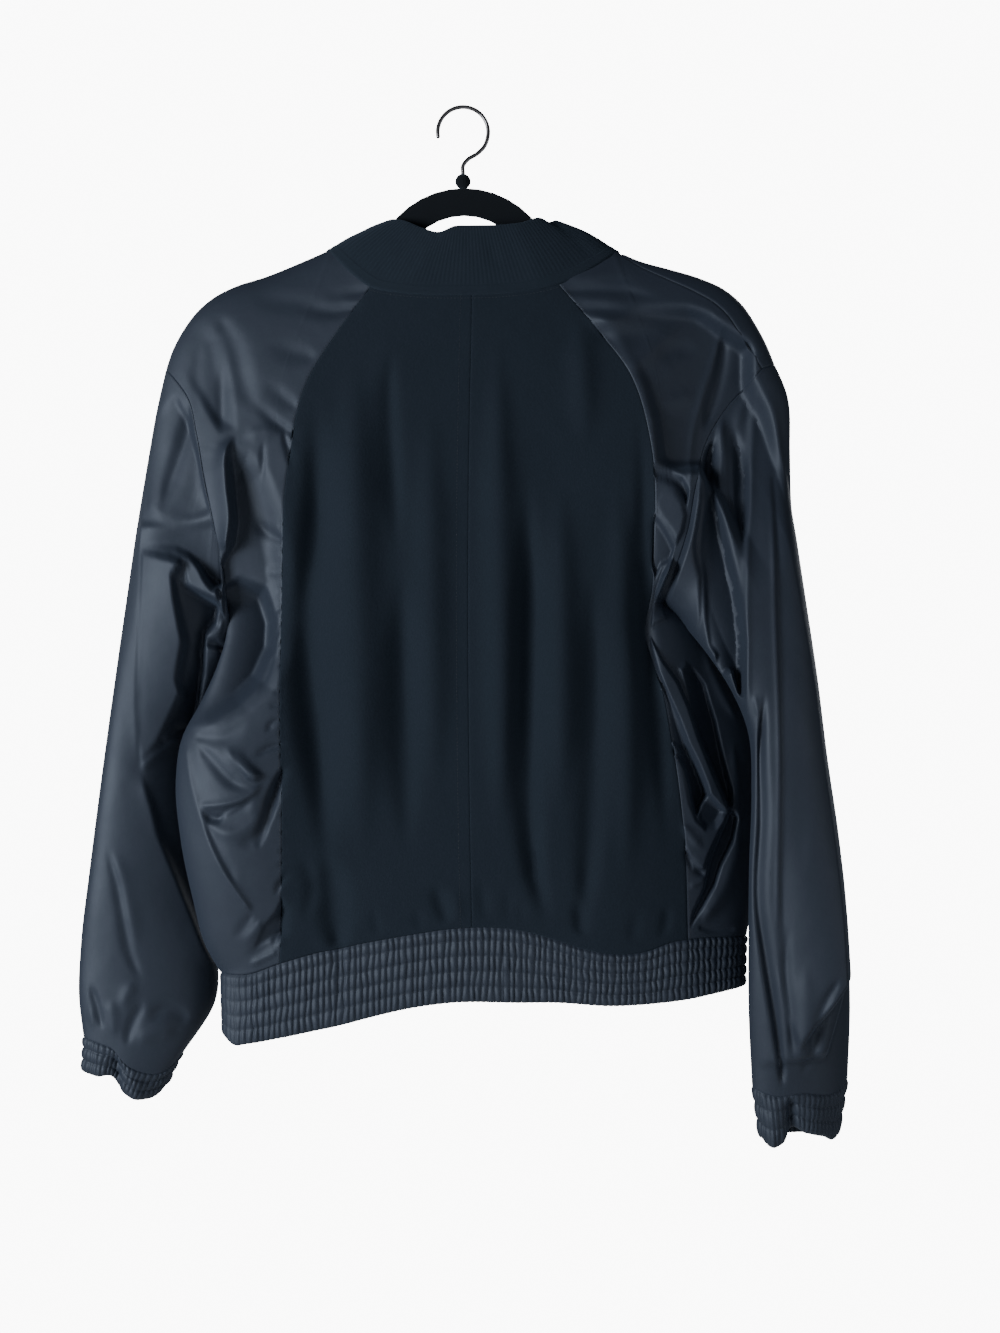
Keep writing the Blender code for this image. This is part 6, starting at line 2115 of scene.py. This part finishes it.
@dataclass
class Studio:
    """Pale floor, soft lights and the camera."""

    floor_z: float = -1.7
    floor_radius: float = 1.5
    camera_place: tuple[float, float, float] = (0.0311, -2.0, -0.4683)
    seen_height: float = 1.1197
    sensor: float = 36.0
    middle: tuple[float, float, float] = (0.0, 0.0, -0.45)

    # By name each light's place, size and power
    LIGHTS = {"key": ((-1.75, -1.45, -0.35), 0.9, 57), "front": ((0.2, -2.2, -0.9), 1.6, 4),
              "right": ((1.9, -1.2, -0.7), 1.2, 8), "behind_left": ((-1.6, 1.35, 0.5), 1.4, 4),
              "front_fill": ((0.8, 2.2, 0.3), 1.6, 22)}

    def build(self) -> None:
        """Makes the studio and sets the scene's camera."""
        mesh = bpy.data.meshes.new("floor")
        reworked(mesh, lambda bm: bmesh.ops.create_circle(
            bm, cap_ends=True, segments=96, radius=self.floor_radius,
            matrix=Matrix.Translation((0, 0, self.floor_z))))
        floor = linked("floor", mesh)
        dress(floor, FloorFinish().material())
        self._world()
        for name, (place, size, power) in self.LIGHTS.items():
            self._light(name, Vector(place), size, power)
        camera = bpy.data.cameras.new("camera")
        camera.sensor_width, camera.sensor_fit = self.sensor, "AUTO"
        camera.lens = self.sensor * abs(self.camera_place[1]) / self.seen_height
        camera.clip_start, camera.clip_end = 0.05, 50
        made = bpy.context.scene.camera = linked("camera", camera)
        made.location, made.rotation_euler = self.camera_place, (math.pi / 2, 0, 0)

    @staticmethod
    def _world() -> None:
        """A white surround that lights the jacket only a little."""
        world = bpy.context.scene.world = bpy.data.worlds.new("studio")
        world.use_nodes = True
        world.node_tree.nodes.clear()
        tree = Tree(world.node_tree)
        given, seen = (tree.node("ShaderNodeBackground", {}, {"Color": colour, "Strength": strength})
                       for colour, strength in (((0.9, 0.95, 1, 1), 0.08), ((1, 1, 1, 1), 10.0)))
        ray = tree.node("ShaderNodeLightPath", output="Is Camera Ray")
        tree.node("ShaderNodeOutputWorld", {}, {
            "Surface": tree.node("ShaderNodeMixShader", {}, {0: ray, 1: given, 2: seen})})

    def _light(self, name: str, place: Vector, size: float, power: float) -> None:
        """A soft square light that faces the jacket."""
        light = bpy.data.lights.new(name, "AREA")
        light.shape, light.size, light.energy = "SQUARE", size, power
        made = linked(name, light)
        made.location = place
        made.rotation_euler = (Vector(self.middle) - place).to_track_quat("-Z", "Y").to_euler()


def sleeve_folds(side: Side) -> dict[Face, list[Relief]]:
    """A sleeve's creases: its own on the back, the other sleeve's lower ones on the front."""
    sleeves = ((LEFT_SLEEVE_FOLDS, LEFT_SLEEVE_FACETS), (RIGHT_SLEEVE_FOLDS, RIGHT_SLEEVE_FACETS))
    (own, planes), (other, _) = sleeves if side is L else sleeves[::-1]
    own, other = rows_of(own), rows_of(other)
    return {BACK: folds_of(own) + facets_of(planes),
            FRONT: folds_of(own[1::2], 0.6, 14) + folds_of(other[::3], 0.5, -10, mirror=True)}


def main() -> None:
    """Builds and dresses every piece."""
    logging.basicConfig(level=logging.INFO, format="%(name)s: %(message)s")
    for old in list(bpy.data.objects):
        bpy.data.objects.remove(old)
    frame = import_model()
    Studio().build()
    satin, crepe, rib, thread, tape, metal, wire, velvet = (finish.material() for finish in (
        SatinFinish(), CrepeFinish(), RibFinish(), ThreadFinish(), TapeFinish(), MetalFinish("zip_metal"),
        MetalFinish("hook_metal", roughness=0.26), VelvetFinish()))
    form = BodyForm()
    body = Body(form)
    pieces = body.build(satin, crepe)
    lines = body.stitches()
    for side, seed in ((L, 21), (R, 22)):
        sleeve = Sleeve(side, body, sleeve_folds(side))
        pieces.append(sleeve.build(satin))
        piece, rows = Cuff(sleeve, Shirring(46, 3, 1.3, seed)).build(satin)
        pieces.append(piece)
        lines += [*rows, beside(sleeve.rings, sleeve.outward, 2.0, 0)]
    piece, rows = HemBand(body, Shirring(176, 5, 2.0)).build(satin)
    lines += rows
    pieces += [piece, Collar(body).build(rib), *Zip(form).build(tape, metal), Hook().build(wire)]
    stitches = Repeater(Repeated.STITCH, thread).along("topstitching", lines, 2.8, (2.0, 0.32, 0.24), 0.02, 9)
    pieces.append(Piece(stitches, "satin", thread))
    for piece in pieces:
        piece.declare()
    for node, finish in (("zip_slider", metal), ("zip_pull_tab", metal), ("hanger", velvet)):
        dress(frame["nodes"][node], finish)
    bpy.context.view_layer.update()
    LOG.info("%d pieces", len(pieces))


if __name__ == "__main__":
    main()
